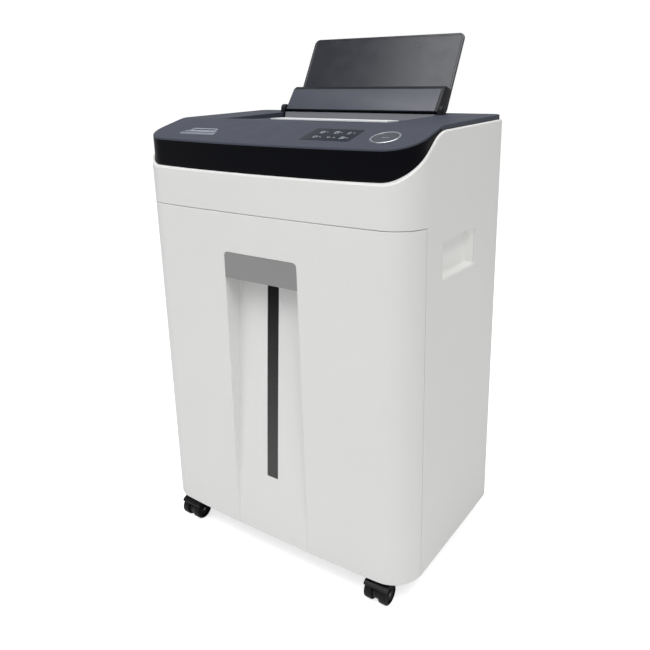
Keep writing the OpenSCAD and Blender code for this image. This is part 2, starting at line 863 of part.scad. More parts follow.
// One of the two wheels; side says which end of the axle it is on.
module caster_wheel(x, y, side) {
    x0 = side > 0 ? wheel_in : -wheel_in - wheel_w;
    end = axle_hw + 0.2;
    color("dimgray") place() translate([x, y, 0]) difference() {
        rod(wheel_r, x0, x0 + wheel_w, -trail, wheel_r);
        rod(2.5 + run_gap, side > 0 ? wheel_in - 1 : -end, side > 0 ? end : 1 - wheel_in, -trail, wheel_r);
    }
}

cabinet_shell();
base_plate();
rear_panel();
rear_screws();
chassis_plate();
top_cover();
front_band();
display_window();
entry_lip();
chute_plate();
button_ring();
cutter_plate_left();
cutter_plate_right();
shaft_bushes();
front_comb();
rear_comb();
tie_rods();
motor_body();
idler_axle();
control_board();
power_board();
power_inlet();
switch_frame();
bin_sensor();
paper_sensor();
grip_left();
grip_right();
bin_front();
pull_plate();
bin_tub();
bin_window();
bin_screws();
tray_bar();
tray_plate();
tray_pins();
button_cap();
rocker();
front_cutter();
front_gear();
drive_gear();
rear_cutter();
rear_gear();
idler_gear();
motor_pinion();
caster_hood(-caster_x, caster_front_y);  // caster_hood_fl
caster_axle(-caster_x, caster_front_y);  // caster_axle_fl
caster_wheel(-caster_x, caster_front_y, -1);  // caster_wheel_fl_a
caster_wheel(-caster_x, caster_front_y, 1);  // caster_wheel_fl_b
caster_hood(caster_x, caster_front_y);  // caster_hood_fr
caster_axle(caster_x, caster_front_y);  // caster_axle_fr
caster_wheel(caster_x, caster_front_y, -1);  // caster_wheel_fr_a
caster_wheel(caster_x, caster_front_y, 1);  // caster_wheel_fr_b
caster_hood(-caster_x, caster_rear_y);  // caster_hood_rl
caster_axle(-caster_x, caster_rear_y);  // caster_axle_rl
caster_wheel(-caster_x, caster_rear_y, -1);  // caster_wheel_rl_a
caster_wheel(-caster_x, caster_rear_y, 1);  // caster_wheel_rl_b
caster_hood(caster_x, caster_rear_y);  // caster_hood_rr
caster_axle(caster_x, caster_rear_y);  // caster_axle_rr
caster_wheel(caster_x, caster_rear_y, -1);  // caster_wheel_rr_a
caster_wheel(caster_x, caster_rear_y, 1);  // caster_wheel_rr_b
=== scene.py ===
"""Deskside paper shredder: shells, trim, casters, materials, light and camera around the CAD frame."""
import json
import math

import bmesh
import bpy
from mathutils import Matrix, Vector
from mathutils.geometry import delaunay_2d_cdt


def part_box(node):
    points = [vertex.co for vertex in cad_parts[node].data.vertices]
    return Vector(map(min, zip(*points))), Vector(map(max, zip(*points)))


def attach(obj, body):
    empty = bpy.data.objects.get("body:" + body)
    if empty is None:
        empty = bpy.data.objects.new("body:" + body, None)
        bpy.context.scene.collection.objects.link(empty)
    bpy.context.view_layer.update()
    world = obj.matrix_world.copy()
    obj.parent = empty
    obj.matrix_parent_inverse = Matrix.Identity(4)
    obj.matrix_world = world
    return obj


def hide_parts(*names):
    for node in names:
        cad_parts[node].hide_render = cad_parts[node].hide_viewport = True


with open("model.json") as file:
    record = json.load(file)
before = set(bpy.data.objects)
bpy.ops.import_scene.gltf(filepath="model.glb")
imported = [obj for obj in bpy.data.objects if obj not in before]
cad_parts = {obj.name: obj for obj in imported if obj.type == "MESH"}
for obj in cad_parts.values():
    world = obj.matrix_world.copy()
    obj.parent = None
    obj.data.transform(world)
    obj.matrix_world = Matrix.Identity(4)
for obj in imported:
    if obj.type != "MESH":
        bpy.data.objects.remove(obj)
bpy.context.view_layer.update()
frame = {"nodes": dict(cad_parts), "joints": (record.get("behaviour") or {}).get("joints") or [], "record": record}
MM = 0.001

# ---------------------------------------------------------------- places from the frame
SHELL_LO, SHELL_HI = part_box("cabinet_shell")
BIN_LO, BIN_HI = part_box("bin_front")
FRONT_Y = BIN_LO.y                       # crown of the bowed front
HALF_W = SHELL_HI.x
DEPTH = SHELL_HI.y - FRONT_Y
BASE_Z = SHELL_LO.z
SEAM_GAP = 0.6 * MM
SEAM_Z = BIN_HI.z + SEAM_GAP
PARTING = BIN_HI.y - FRONT_Y             # side edge of the bin front, from the crown
WALL = 3 * MM
CORNER_R = 40 * MM
REAR_R = 15 * MM
BOW_R = 3.284
JOINTS = {j["name"]: j for j in frame["joints"]}
HINGE = Vector(JOINTS["tray_fold"]["pos_m"])
LEAN = math.radians(55)                  # lean of the open tray from the horizontal

# rim of the cabinet and surface of the deck, as heights over the depth behind the front
RIM_LOW, RIM_HIGH, RIM_CLIMB, RIM_RISE = 5 * MM, 69 * MM, 51.5 * MM, 0.038
RIM_Z = SHELL_HI.z - RIM_CLIMB - RIM_RISE * (DEPTH - RIM_HIGH)
CREASE = 79 * MM                         # where the control surface meets the rear deck
COVER_IN = 3.4 * MM                      # black cover and band, behind the white rim's outer edge
BAND_GAP = 3.4 * MM                      # from the band's rear end to the crease
BAND_WALL = 2.6 * MM
BAND_BELOW_RIM = 3 * MM
DECK_RISE, REAR_RISE = 0.3, 0.041
EAR_TOP = 40 * MM                        # top of the hinge ears above the deck's front edge
DECK_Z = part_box("top_cover")[1].z - EAR_TOP
LIP_T = 1.5 * MM
RECESS_HALF = 126 * MM
RECESS_END = 222 * MM
RECESS_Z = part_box("entry_lip")[1].z - LIP_T


# ---------------------------------------------------------------- curves
def corner_arc(a, p, b, r, n):
    """Points of the arc that rounds corner p between a and b."""
    u, v = (a - p).normalized(), (b - p).normalized()
    half = u.angle(v) / 2
    centre = p + (u + v).normalized() * (r / math.sin(half))
    start, end = p + u * (r / math.tan(half)) - centre, p + v * (r / math.tan(half)) - centre
    turn = math.atan2(start.x * end.y - start.y * end.x, start.dot(end))
    return [centre + Matrix.Rotation(turn * i / n, 2) @ start for i in range(n + 1)]


def interpolate(points, x):
    """Height of a left-to-right polyline at x."""
    for a, b in zip(points, points[1:]):
        if x <= b.x:
            return a.y + (b.y - a.y) * (x - a.x) / (b.x - a.x)
    return points[-1].y


FAR = 0.3
RIM_LINE = [Vector((-0.02, RIM_Z)), Vector((RIM_LOW, RIM_Z)), Vector((RIM_HIGH, RIM_Z + RIM_CLIMB)),
            Vector((FAR, RIM_Z + RIM_CLIMB + RIM_RISE * (FAR - RIM_HIGH)))]
RIM_CURVE = ([RIM_LINE[0]] + corner_arc(*RIM_LINE[0:3], 16 * MM, 16)
             + corner_arc(*RIM_LINE[1:4], 48 * MM, 24) + [RIM_LINE[3]])
CREASE_Z = DECK_Z + DECK_RISE * CREASE
DECK_LINE = [Vector((-0.02, DECK_Z - 0.02 * DECK_RISE)), Vector((CREASE, CREASE_Z)),
             Vector((FAR, CREASE_Z + REAR_RISE * (FAR - CREASE)))]
DECK_CURVE = [DECK_LINE[0]] + corner_arc(*DECK_LINE, 60 * MM, 12) + [DECK_LINE[2]]


def rim_at(s):
    """Height of the white rim at depth s behind the front."""
    return interpolate(RIM_CURVE, s)


def deck_at(s):
    """Height of the deck at depth s behind the front."""
    return interpolate(DECK_CURVE, s)


def edge_drop(d, r):
    """How far a rounded edge of radius r falls back at distance d from the edge."""
    if d >= r:
        return 0.0
    return r - math.sqrt(max(0.0, r * r - (r - max(d, 0.0)) ** 2))


TURN = math.asin((HALF_W - CORNER_R) / (BOW_R - CORNER_R))
CORNER_S = BOW_R - (BOW_R - CORNER_R) * math.cos(TURN)


def bow_point(x, inset=0.0):
    """Point of the bowed front at x, as (x, depth)."""
    r = BOW_R - inset
    return Vector((x, BOW_R - math.sqrt(r * r - x * x)))


def both_sides(half):
    """Closed outline from its +X half, counter-clockwise from the front middle."""
    return half + [Vector((-p.x, p.y)) for p in reversed(half[1:-1])]


# ---------------------------------------------------------------- mesh helpers
def make_object(name, verts, faces, body, slot, material, sharp=32):
    """Mesh object from vertices and faces in metres, riding on a CAD body."""
    mesh = bpy.data.meshes.new(name)
    mesh.from_pydata([tuple(v) for v in verts], [], faces)
    bm = bmesh.new()
    bm.from_mesh(mesh)
    bmesh.ops.remove_doubles(bm, verts=bm.verts, dist=1e-6)
    bmesh.ops.dissolve_degenerate(bm, dist=1e-7, edges=bm.edges)
    bmesh.ops.recalc_face_normals(bm, faces=bm.faces)
    bm.to_mesh(mesh)
    bm.free()
    mesh.shade_smooth()
    mesh.set_sharp_from_angle(angle=math.radians(sharp))
    ob = bpy.data.objects.new(name, mesh)
    bpy.context.scene.collection.objects.link(ob)
    mesh.materials.append(material)
    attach(ob, body)
    return ob


def add_bevel(ob, width, segments=3, angle=35):
    """Rounded edges on an object whose flat faces meet at sharp angles."""
    mod = ob.modifiers.new("edges", "BEVEL")
    mod.width = width
    mod.segments = segments
    mod.limit_method = "ANGLE"
    mod.angle_limit = math.radians(angle)
    mod.harden_normals = True
    return ob


def grid_faces(rows, cols, closed, start=0, flip=False, skip=None):
    """Quads of a rows x cols grid of vertices."""
    faces = []
    for i in range(rows - 1):
        for j in range(cols if closed else cols - 1):
            if skip and skip(i, j):
                continue
            k = (j + 1) % cols
            low, high = start + i * cols, start + (i + 1) * cols
            quad = [low + j, low + k, high + k, high + j]
            faces.append(quad[::-1] if flip else quad)
    return faces


def double_skin(outer, inner, closed, skip=None):
    """Closed solid from an outer and an inner grid of points; open edges are joined."""
    rows, cols = len(outer), len(outer[0])
    verts = [p for row in outer for p in row] + [p for row in inner for p in row]
    n = rows * cols
    faces = grid_faces(rows, cols, closed, skip=skip)
    used = {}
    for f in faces:
        for a, b in zip(f, f[1:] + f[:1]):
            used[(a, b)] = used.get((a, b), 0) + 1
    rims = [(a, b) for (a, b) in used if (b, a) not in used]
    faces += grid_faces(rows, cols, closed, start=n, flip=True, skip=skip)
    faces += [[b, a, a + n, b + n] for a, b in rims]
    return verts, faces


def loft(loops):
    """Closed solid through loops of the same number of points."""
    n = len(loops[0])
    verts = [p for loop in loops for p in loop]
    faces = grid_faces(len(loops), n, True)
    faces += [list(range(n))[::-1], [(len(loops) - 1) * n + i for i in range(n)]]
    return verts, faces


def across(section, mid, end, x0=0.0):
    """Solid along X from a (depth, height) section; end lists (half length, shrink towards mid) pairs."""
    levels = [(-x, g) for x, g in end] + [(x, g) for x, g in reversed(end)]
    return loft([[Vector((x0 + x, *(p - (p - mid).normalized() * g))) for p in section] for x, g in levels])


def rounded_rect(w, h, r, n=6):
    """Counter-clockwise outline of a rounded rectangle, centred on zero."""
    r = min(r, w / 2 - 1e-6, h / 2 - 1e-6)
    pts = []
    for cx, cy, a0 in ((w / 2 - r, h / 2 - r, 0), (r - w / 2, h / 2 - r, 90),
                       (r - w / 2, r - h / 2, 180), (w / 2 - r, r - h / 2, 270)):
        for i in range(n + 1):
            a = math.radians(a0 + 90 * i / n)
            pts.append(Vector((cx + r * math.cos(a), cy + r * math.sin(a))))
    return pts


def soft_block(w, h, t, r, edge):
    """Rounded-rectangle plate from z=0 to z=t with rounded edges."""
    low = [edge * (1 - math.cos(math.pi / 2 * i / 4)) for i in range(5)]
    levels = [(z, edge_drop(z, edge)) for z in low]
    levels += [(t - z, d) for z, d in reversed(levels)]
    return loft([[Vector((p.x, p.y, z)) for p in rounded_rect(w - 2 * d, h - 2 * d, r - d)]
                 for z, d in levels])


def lathe(profile, n=48):
    """Solid of revolution about Z from (radius, height) points, closed at both ends."""
    loops = [[Vector((r * math.cos(2 * math.pi * i / n), r * math.sin(2 * math.pi * i / n), z))
              for i in range(n)] for r, z in profile]
    return loft(loops)


def ring_lathe(profile, n=64):
    """Ring of revolution about Z from a closed section of (radius, height) points."""
    verts, faces, m = [], [], len(profile)
    for i in range(n):
        a = 2 * math.pi * i / n
        verts += [Vector((r * math.cos(a), r * math.sin(a), z)) for r, z in profile]
    for i in range(n):
        for j in range(m):
            k, l = (i + 1) % n, (j + 1) % m
            faces.append([i * m + j, i * m + l, k * m + l, k * m + j])
    return verts, faces


def moved(shape, matrix):
    """The (verts, faces) shape with its vertices transformed."""
    verts, faces = shape
    return [matrix @ Vector(v) for v in verts], faces


def joined(*shapes):
    """One (verts, faces) shape from several separate ones."""
    verts, faces = [], []
    for v, f in shapes:
        k = len(verts)
        verts += list(v)
        faces += [[i + k for i in face] for face in f]
    return verts, faces


def cut(ob, *shapes):
    """Subtracts solids from an object and applies the result."""
    for shape in shapes:
        mesh = bpy.data.meshes.new("cutter")
        mesh.from_pydata([tuple(v) for v in shape[0]], [], shape[1])
        bm = bmesh.new()
        bm.from_mesh(mesh)
        bmesh.ops.recalc_face_normals(bm, faces=bm.faces)
        bm.to_mesh(mesh)
        bm.free()
        tool = bpy.data.objects.new("cutter", mesh)
        bpy.context.scene.collection.objects.link(tool)
        mod = ob.modifiers.new("cut", "BOOLEAN")
        mod.object = tool
        mod.operation = "DIFFERENCE"
        mod.solver = "EXACT"
        bpy.context.view_layer.update()
        done = bpy.data.meshes.new_from_object(ob.evaluated_get(bpy.context.evaluated_depsgraph_get()))
        ob.modifiers.clear()
        ob.data = done
        bpy.data.objects.remove(tool)
    ob.data.shade_smooth()
    ob.data.set_sharp_from_angle(angle=math.radians(32))
    return ob


def lift(p, z):
    """Point of an outline at height z, in the frame's coordinates."""
    return Vector((p.x, FRONT_Y + p.y, z))


# ---------------------------------------------------------------- materials
def new_material(name):
    """Material with one shader, and the object coordinates for its textures."""
    mat = bpy.data.materials.new(name)
    mat.use_nodes = True
    nodes, links = mat.node_tree.nodes, mat.node_tree.links
    nodes.clear()
    out = nodes.new("ShaderNodeOutputMaterial")
    bsdf = nodes.new("ShaderNodeBsdfPrincipled")
    links.new(bsdf.outputs["BSDF"], out.inputs["Surface"])
    coords = nodes.new("ShaderNodeTexCoord").outputs["Object"]
    return mat, nodes, links, bsdf, coords


def noise(nodes, links, coords, scale, detail=2.0, stretch=None):
    """Noise texture over object coordinates; stretch scales the three axes apart."""
    tex = nodes.new("ShaderNodeTexNoise")
    tex.inputs["Scale"].default_value = scale
    tex.inputs["Detail"].default_value = detail
    if stretch:
        mapping = nodes.new("ShaderNodeMapping")
        mapping.inputs["Scale"].default_value = stretch
        links.new(coords, mapping.inputs["Vector"])
        coords = mapping.outputs["Vector"]
    links.new(coords, tex.inputs["Vector"])
    return tex.outputs["Fac"]


def map_range(nodes, links, value, start, end, low, high):
    """Maps a value from start..end to low..high."""
    node = nodes.new("ShaderNodeMapRange")
    for key, v in zip(("From Min", "From Max", "To Min", "To Max"), (start, end, low, high)):
        node.inputs[key].default_value = v
    links.new(value, node.inputs["Value"])
    return node.outputs["Result"]


def spread(nodes, links, value, low, high):
    """Maps a noise value around one half to the range low..high."""
    return map_range(nodes, links, value, 0.3, 0.7, low, high)


def tint(nodes, links, value, a, b):
    """Colour that varies between a and b with a noise value."""
    ramp = nodes.new("ShaderNodeValToRGB")
    for end, position, color in zip(ramp.color_ramp.elements, (0.3, 0.7), (a, b)):
        end.position = position
        end.color = (*color, 1)
    links.new(value, ramp.inputs["Fac"])
    return ramp.outputs["Color"]


def bump(nodes, links, height, strength, distance, below=None):
    """Normal disturbed by a height value, on top of another normal where one is given."""
    node = nodes.new("ShaderNodeBump")
    node.inputs["Strength"].default_value = strength
    node.inputs["Distance"].default_value = distance
    links.new(height, node.inputs["Height"])
    if below is not None:
        links.new(below, node.inputs["Normal"])
    return node.outputs["Normal"]


def shade(color, f):
    """Colour made darker or lighter by a factor."""
    return tuple(min(1.0, c * f) for c in color)


def plastic(name, color, rough, grain=900, depth=0.04, mottle=0.03, waviness=0.0, level=0.5):
    """Moulded plastic: spark-eroded grain, slow colour and gloss variation, faint mould waviness."""
    mat, nodes, links, bsdf, coords = new_material(name)
    slow = noise(nodes, links, coords, 7, 3)
    fine = noise(nodes, links, coords, grain, 3)
    smear = noise(nodes, links, coords, 45, 4)
    links.new(tint(nodes, links, slow, shade(color, 1 - mottle), shade(color, 1 + mottle)),
              bsdf.inputs["Base Color"])
    links.new(spread(nodes, links, smear, rough - 0.035, rough + 0.035), bsdf.inputs["Roughness"])
    normal = bump(nodes, links, fine, 0.5, depth * MM)
    if waviness:
        normal = bump(nodes, links, noise(nodes, links, coords, 16, 1), waviness, 0.4 * MM, normal)
    links.new(normal, bsdf.inputs["Normal"])
    bsdf.inputs["Specular IOR Level"].default_value = level
    return mat


def metal(name, color, rough, brush=(1, 1, 1), scale=220, depth=0.02, stain=0.08):
    """Machined or brushed metal with drawn streaks and faint stains."""
    mat, nodes, links, bsdf, coords = new_material(name)
    streak = noise(nodes, links, coords, scale, 6, brush)
    slow = noise(nodes, links, coords, 22, 4)
    links.new(tint(nodes, links, slow, shade(color, 1 - stain), color), bsdf.inputs["Base Color"])
    links.new(spread(nodes, links, streak, rough - 0.08, rough + 0.1), bsdf.inputs["Roughness"])
    links.new(bump(nodes, links, streak, 0.4, depth * MM), bsdf.inputs["Normal"])
    bsdf.inputs["Metallic"].default_value = 1.0
    return mat


# colour, roughness, grain scale, grain depth in mm, mottle, waviness, specular level
PLASTICS = {
    "white_shell": ((0.79, 0.79, 0.785), 0.42, 1100, 0.02, 0.008, 0.03, 0.4),
    # pocket_white_painted_light: the shell's white made lighter, painted light inside the grip pockets
    "pocket_white_painted_light": ((0.92, 0.92, 0.91), 0.42, 1100, 0.02, 0.008),
    "deck_plastic": ((0.052, 0.058, 0.080), 0.5, 1300, 0.05, 0.04, 0.0, 0.25),
    "band_gloss": ((0.002, 0.0022, 0.004), 0.12, 60, 0.01, 0.1, 0.05, 0.12),
    "display_glass": ((0.012, 0.014, 0.024), 0.3, 80, 0.005, 0.05, 0.0, 0.15),
    "button_plastic": ((0.055, 0.058, 0.074), 0.4, 1500, 0.03, 0.04),
    "lip_white": ((0.9, 0.91, 0.93), 0.35, 900, 0.02, 0.01),
    "ramp_grey": ((0.12, 0.124, 0.14), 0.4, 1000, 0.04, 0.05),
    "tray_dark": ((0.012, 0.014, 0.022), 0.24, 1300, 0.03, 0.05, 0.0, 0.45),
    "tray_face": ((0.055, 0.060, 0.082), 0.34, 1300, 0.04, 0.05),
    "tray_edge": ((0.006, 0.0065, 0.010), 0.42, 1100, 0.04, 0.06, 0.0, 0.3),
    "window_smoke": ((0.008, 0.008, 0.009), 0.12, 90, 0.01, 0.2, 0.0, 0.5),
    "pull_grey": ((0.27, 0.27, 0.27), 0.4, 1100, 0.03, 0.02),
    "bin_grey": ((0.26, 0.27, 0.28), 0.5, 800, 0.05, 0.05),
    "base_black": ((0.03, 0.03, 0.033), 0.55, 700, 0.06, 0.08),
    "comb_plastic": ((0.52, 0.46, 0.32), 0.5, 500, 0.06, 0.06),
    "gear_plastic": ((0.72, 0.68, 0.56), 0.45, 600, 0.03, 0.04),
    "board_green": ((0.012, 0.11, 0.05), 0.3, 300, 0.02, 0.2),
    "black_plastic": ((0.014, 0.014, 0.016), 0.42, 900, 0.05, 0.1),
    "rocker_black": ((0.02, 0.02, 0.022), 0.2, 500, 0.01, 0.1),
    "caster_black": ((0.004, 0.004, 0.005), 0.36, 700, 0.04, 0.1, 0.0, 0.2),
    "wheel_black": ((0.005, 0.005, 0.006), 0.45, 600, 0.06, 0.15, 0.0, 0.2),
}
# colour, roughness, stretch of the streaks, their scale, their depth in mm, stain
METALS = {
    "ring_metal": ((0.72, 0.74, 0.78), 0.22, (1, 1, 1), 400, 0.005, 0.03),
    "steel_plate": ((0.55, 0.56, 0.57), 0.38, (1, 14, 14)),
    "cutter_steel": ((0.42, 0.43, 0.45), 0.33, (14, 1, 1), 260, 0.02, 0.2),
    "screw_steel": ((0.52, 0.53, 0.55), 0.3, (1, 1, 1), 500),
    "bush_bronze": ((0.62, 0.42, 0.2), 0.42, (1, 1, 1), 900, 0.03, 0.15),
    "motor_steel": ((0.28, 0.29, 0.31), 0.4, (1, 10, 10), 200, 0.02, 0.15),
    "gear_steel": ((0.38, 0.39, 0.41), 0.36, (10, 1, 1), 300, 0.02, 0.2),
}
MAT = {name: plastic(name, *look) for name, look in PLASTICS.items()}
MAT.update((name, metal(name, *look)) for name, look in METALS.items())


def paint_shade_by_height(mat, z0, z1, dark, pale):
    """Painted shade: colour and specular level grow from dark at height z1 to pale at height z0, darkening the
    smoked glass towards its top.
    """
    nodes, links = mat.node_tree.nodes, mat.node_tree.links
    bsdf = next(n for n in nodes if n.type == "BSDF_PRINCIPLED")
    height = nodes.new("ShaderNodeSeparateXYZ")
    links.new(next(n for n in nodes if n.type == "TEX_COORD").outputs["Object"], height.inputs["Vector"])
    fade = map_range(nodes, links, height.outputs["Z"], z0, z1, 0.7, 0.3)
    links.new(tint(nodes, links, fade, (dark,) * 3, (pale,) * 3), bsdf.inputs["Base Color"])
    links.new(spread(nodes, links, fade, 0.04, 0.5), bsdf.inputs["Specular IOR Level"])


# painted shade on the window: darker and duller towards the top
paint_shade_by_height(MAT["window_smoke"], 150 * MM, 400 * MM, 0.002, 0.03)
ICON = plastic("icon_print", (0.55, 0.6, 0.68), 0.4, 2000, 0.005, 0.03)
SLOT_OF = {p["node"]: p["material_slot"] for p in frame["record"]["subparts"]}

# every CAD node gets its slot's finish, and the listed ones softly rounded edges
BEVELS = {"pull_plate": 0.5, "rear_panel": 0.5, "entry_lip": 0.5, "chute_plate": 0.3, "power_inlet": 0.4,
          "switch_frame": 0.4, "rocker": 0.5, "bin_tub": 0.6, "chassis_plate": 0.3, "rear_screws": 0.2,
          "tray_pins": 0.4, "bin_window": 0.2, "base_plate": 0.4}
for node_name, node in frame["nodes"].items():
    node.data.materials.clear()
    node.data.materials.append(MAT[SLOT_OF[node_name]])
    if node_name in BEVELS:
        add_bevel(node, BEVELS[node_name] * MM, 3, 40)


def weighted(ob):
    """Keeps large flat faces flat in shading next to rounded edges."""
    mod = ob.modifiers.new("normals", "WEIGHTED_NORMAL")
    mod.keep_sharp = True
    mod.weight = 80
    return ob


# ---------------------------------------------------------------- outline columns
def front_angles(stop, extra, n=22):
    """Angles round the front corner, from the bow's end to stop, with extra ones added."""
    step = (stop - TURN) / n
    base = [TURN + step * i for i in range(n + 1)]
    keep = [a for a in base if all(abs(a - e) > 0.2 * step for e in extra)]
    return sorted(keep + [e for e in extra if e <= stop])


def corner_point(a, inset=0.0):
    """Point of the front corner at an angle from the front's middle direction."""
    r = CORNER_R - inset
    return Vector((HALF_W - CORNER_R + r * math.sin(a), CORNER_S - r * math.cos(a)))


def angle_at(s):
    """Angle round the front corner whose point lies at depth s."""
    return math.acos((CORNER_S - s) / CORNER_R)


def front_half(inset, corner, side):
    """Half outline from the front middle round the corner and along the side, with chosen columns."""
    end_x = (BOW_R - inset) * math.sin(TURN)
    pts = [bow_point(end_x * i / 24, inset) for i in range(24)]
    pts += [corner_point(a, inset) for a in corner]
    return pts + [Vector((HALF_W - inset, s)) for s in side]


def shell_half(inset, corner, side):
    """Half outline from the front middle to the back middle."""
    pts = front_half(inset, corner, side)
    r = REAR_R - inset
    for i in range(11):
        a = math.pi / 2 * i / 10
        pts.append(Vector((HALF_W - REAR_R + r * math.cos(a), DEPTH - REAR_R + r * math.sin(a))))
    return pts + [Vector((x, DEPTH - inset)) for x in (150 * MM, 110 * MM, 60 * MM, 0.0)]


def steps(low, high, step):
    """Even values from low to high, about one step apart."""
    n = max(1, round((high - low) / step))
    return [low + (high - low) * i / n for i in range(n + 1)]


# ---------------------------------------------------------------- cabinet shell
GAP_S = PARTING + SEAM_GAP
EDGE = 0.7 * MM
RIM_R = 2.4 * MM
BOTTOM_R = 1.5 * MM
gap_angles = [angle_at(GAP_S + t * MM) for t in (0.0, 0.12, 0.4, 0.7)]
corner_cols = front_angles(math.pi / 2, gap_angles, 30)
side_cols = steps(CORNER_S + 2 * MM, 100 * MM, 3 * MM) + steps(108 * MM, 225 * MM, 9 * MM)


def shell_skin(base):
    """Grid of the cabinet's wall at an inset, rows from the bottom to the rim."""
    p0 = both_sides(shell_half(base, corner_cols, side_cols))
    p1 = both_sides(shell_half(base + MM, corner_cols, side_cols))
    inner = base > 0
    rows = []
    low = [0.0, 0.1 * MM, 0.4 * MM, 0.9 * MM, BOTTOM_R]
    mids = steps(BASE_Z + 20 * MM, SEAM_Z - 20 * MM, 60 * MM)
    seam = [0.0, 0.1 * MM, 0.35 * MM, EDGE]
    rim = [RIM_R, 1.4 * MM, 0.7 * MM, 0.25 * MM, 0.04 * MM, 0.0]
    spec = [("low", t) for t in low] + [("mid", z) for z in mids] + [("seam", t) for t in seam]
    spec += [("up", f) for f in (0.33, 0.66)] + [("rim", t) for t in rim]
    for kind, v in spec:
        row = []
        for a, b in zip(p0, p1):
            top = rim_at(a.y)
            if kind == "low":
                z, drop = BASE_Z + v, edge_drop(v, BOTTOM_R)
            elif kind == "mid":
                z, drop = v, 0.0
            elif kind == "seam":
                z, drop = SEAM_Z + v, edge_drop(v, EDGE) if a.y < GAP_S + 0.01 * MM else 0.0
            elif kind == "up":
                z = SEAM_Z + EDGE + (top - RIM_R - SEAM_Z - EDGE) * v
                drop = 0.0
            else:
                z, drop = top - v, edge_drop(v, RIM_R) * (0.25 if inner else 1.0)
            if z < SEAM_Z + 0.01 * MM and GAP_S - 0.01 * MM <= a.y < GAP_S + EDGE:
                drop = max(drop, edge_drop(a.y - GAP_S, EDGE))
            drop = -0.75 * drop if inner else drop
            p = a + (b - a) * (drop / MM)
            row.append(lift(p, z))
        rows.append(row)
    return rows, spec


outer_rows, shell_spec = shell_skin(0.0)
inner_rows, _ = shell_skin(WALL)
seam_row = next(i for i, (k, v) in enumerate(shell_spec) if k == "seam")
front_cols = [p.y for p in both_sides(shell_half(0.0, corner_cols, side_cols))]


def in_bin_bay(i, j):
    """Whether a quad of the wall lies where the bin's front takes its place."""
    k = (j + 1) % len(front_cols)
    return i < seam_row and min(front_cols[j], front_cols[k]) < GAP_S - 0.01 * MM


shell = make_object("cabinet_body", *double_skin(outer_rows, inner_rows, True, in_bin_bay), "cabinet",
                    "white_shell", MAT["white_shell"])

GRIP_S = (79.5 * MM, 167 * MM)           # the grip's opening, in depth and in height
GRIP_Z = (397 * MM, 442.5 * MM)
GRIP_MID = ((GRIP_S[0] + GRIP_S[1]) / 2, (GRIP_Z[0] + GRIP_Z[1]) / 2)
GRIP_SIZE = (GRIP_S[1] - GRIP_S[0], GRIP_Z[1] - GRIP_Z[0])
GRIP_R = 3 * MM
GRIP_DEPTH = 17 * MM
VENT_W, VENT_H, VENT_Z = 248 * MM, 62 * MM, 511 * MM


def side_matrix(side):
    """Local x along the depth, y up, z inwards from the side wall's face, for the +X or -X side."""
    m = Matrix(((0, 0, -side), (1, 0, 0), (0, 1, 0))).to_4x4()
    return Matrix.Translation((side * HALF_W, FRONT_Y + GRIP_MID[0], GRIP_MID[1])) @ m


def rect_loft(w, h, r, levels):
    """Closed solid through rounded rectangles; levels are (offset outwards, height)."""
    return loft([[Vector((p.x, p.y, z)) for p in rounded_rect(w + 2 * d, h + 2 * d, max(r + d, 0.3 * MM), 8)]
                 for d, z in levels])


grip_cut = rect_loft(*GRIP_SIZE, GRIP_R, [
    (1.6 * MM, -1 * MM), (0.8 * MM, -0.001 * MM), (0.35 * MM, 0.12 * MM),
    (0.1 * MM, 0.4 * MM), (0.0, 0.8 * MM), (0.0, 5 * MM)])
vent_cut = rect_loft(VENT_W, VENT_H, 3 * MM, [(0, -8 * MM), (0, 8 * MM)])
vent_at = Matrix.Translation((0, FRONT_Y + DEPTH, VENT_Z)) @ Matrix.Rotation(math.pi / 2, 4, "X")
cut(shell, moved(grip_cut, side_matrix(1)), moved(grip_cut, side_matrix(-1)), moved(vent_cut, vent_at))
weighted(shell)
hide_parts("cabinet_shell")

# grip pockets: rounded cups behind the holes, in a lighter copy of the shell's white that paints in the light
# falling inside them
cup_back = [(-6, 0), (-1, 0), (1.6, 2)]
cup_floor = [(-0.5, 4.5), (-1.2, 3), (-2.4, 2.3), (-4.5, 2)]
cup_levels = [(d * MM, GRIP_DEPTH - t * MM) for d, t in cup_back]
cup_levels += [(1.6 * MM, 2.6 * MM), (0.1 * MM, 2.6 * MM), (-0.2 * MM, 8 * MM)]
cup_levels += [(d * MM, GRIP_DEPTH - t * MM) for d, t in cup_floor]
for side, tag in ((1, "right"), (-1, "left")):
    cup = moved(rect_loft(*GRIP_SIZE, GRIP_R, cup_levels), side_matrix(side))
    pocket = make_object("grip_pocket_" + tag, *cup, "cabinet", "white_shell", MAT["pocket_white_painted_light"], 60)
    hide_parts("grip_" + tag)

# ---------------------------------------------------------------- bin front
CHANNEL_Z = 414 * MM
CHANNEL_TOP, CHANNEL_LOW = 55.5 * MM, 59 * MM
CHANNEL_DEEP, CHANNEL_SHALLOW = 27 * MM, 0.8 * MM
CHANNEL_R = 5 * MM
DRAFT = 1.2 * MM


def channel_at(z):
    """Depth of the channel's floor behind the crown at height z."""
    f = max(0.0, z - BASE_Z) / (CHANNEL_Z - BASE_Z)
    return CHANNEL_SHALLOW + (CHANNEL_DEEP - CHANNEL_SHALLOW) * f ** 1.12


def channel_half(z, grow=0.0):
    """Half width of the channel at height z, with its rounded top corners."""
    base = BASE_Z - 10 * MM
    hw = CHANNEL_LOW + (CHANNEL_TOP - CHANNEL_LOW) * (z - base) / (CHANNEL_Z - base)
    r = CHANNEL_R + grow
    return hw + grow - edge_drop(max(0.0, CHANNEL_Z + grow - z), r)


BIN_TOP, BIN_BASE = BIN_HI.z, BIN_LO.z
CHANNEL_EDGE = 1.0 * MM
BIN_EDGE = 0.8 * MM
part_end = angle_at(PARTING)
part_angles = [part_end - t * MM / CORNER_R for t in (0.0, 0.1, 0.35, 0.8)]


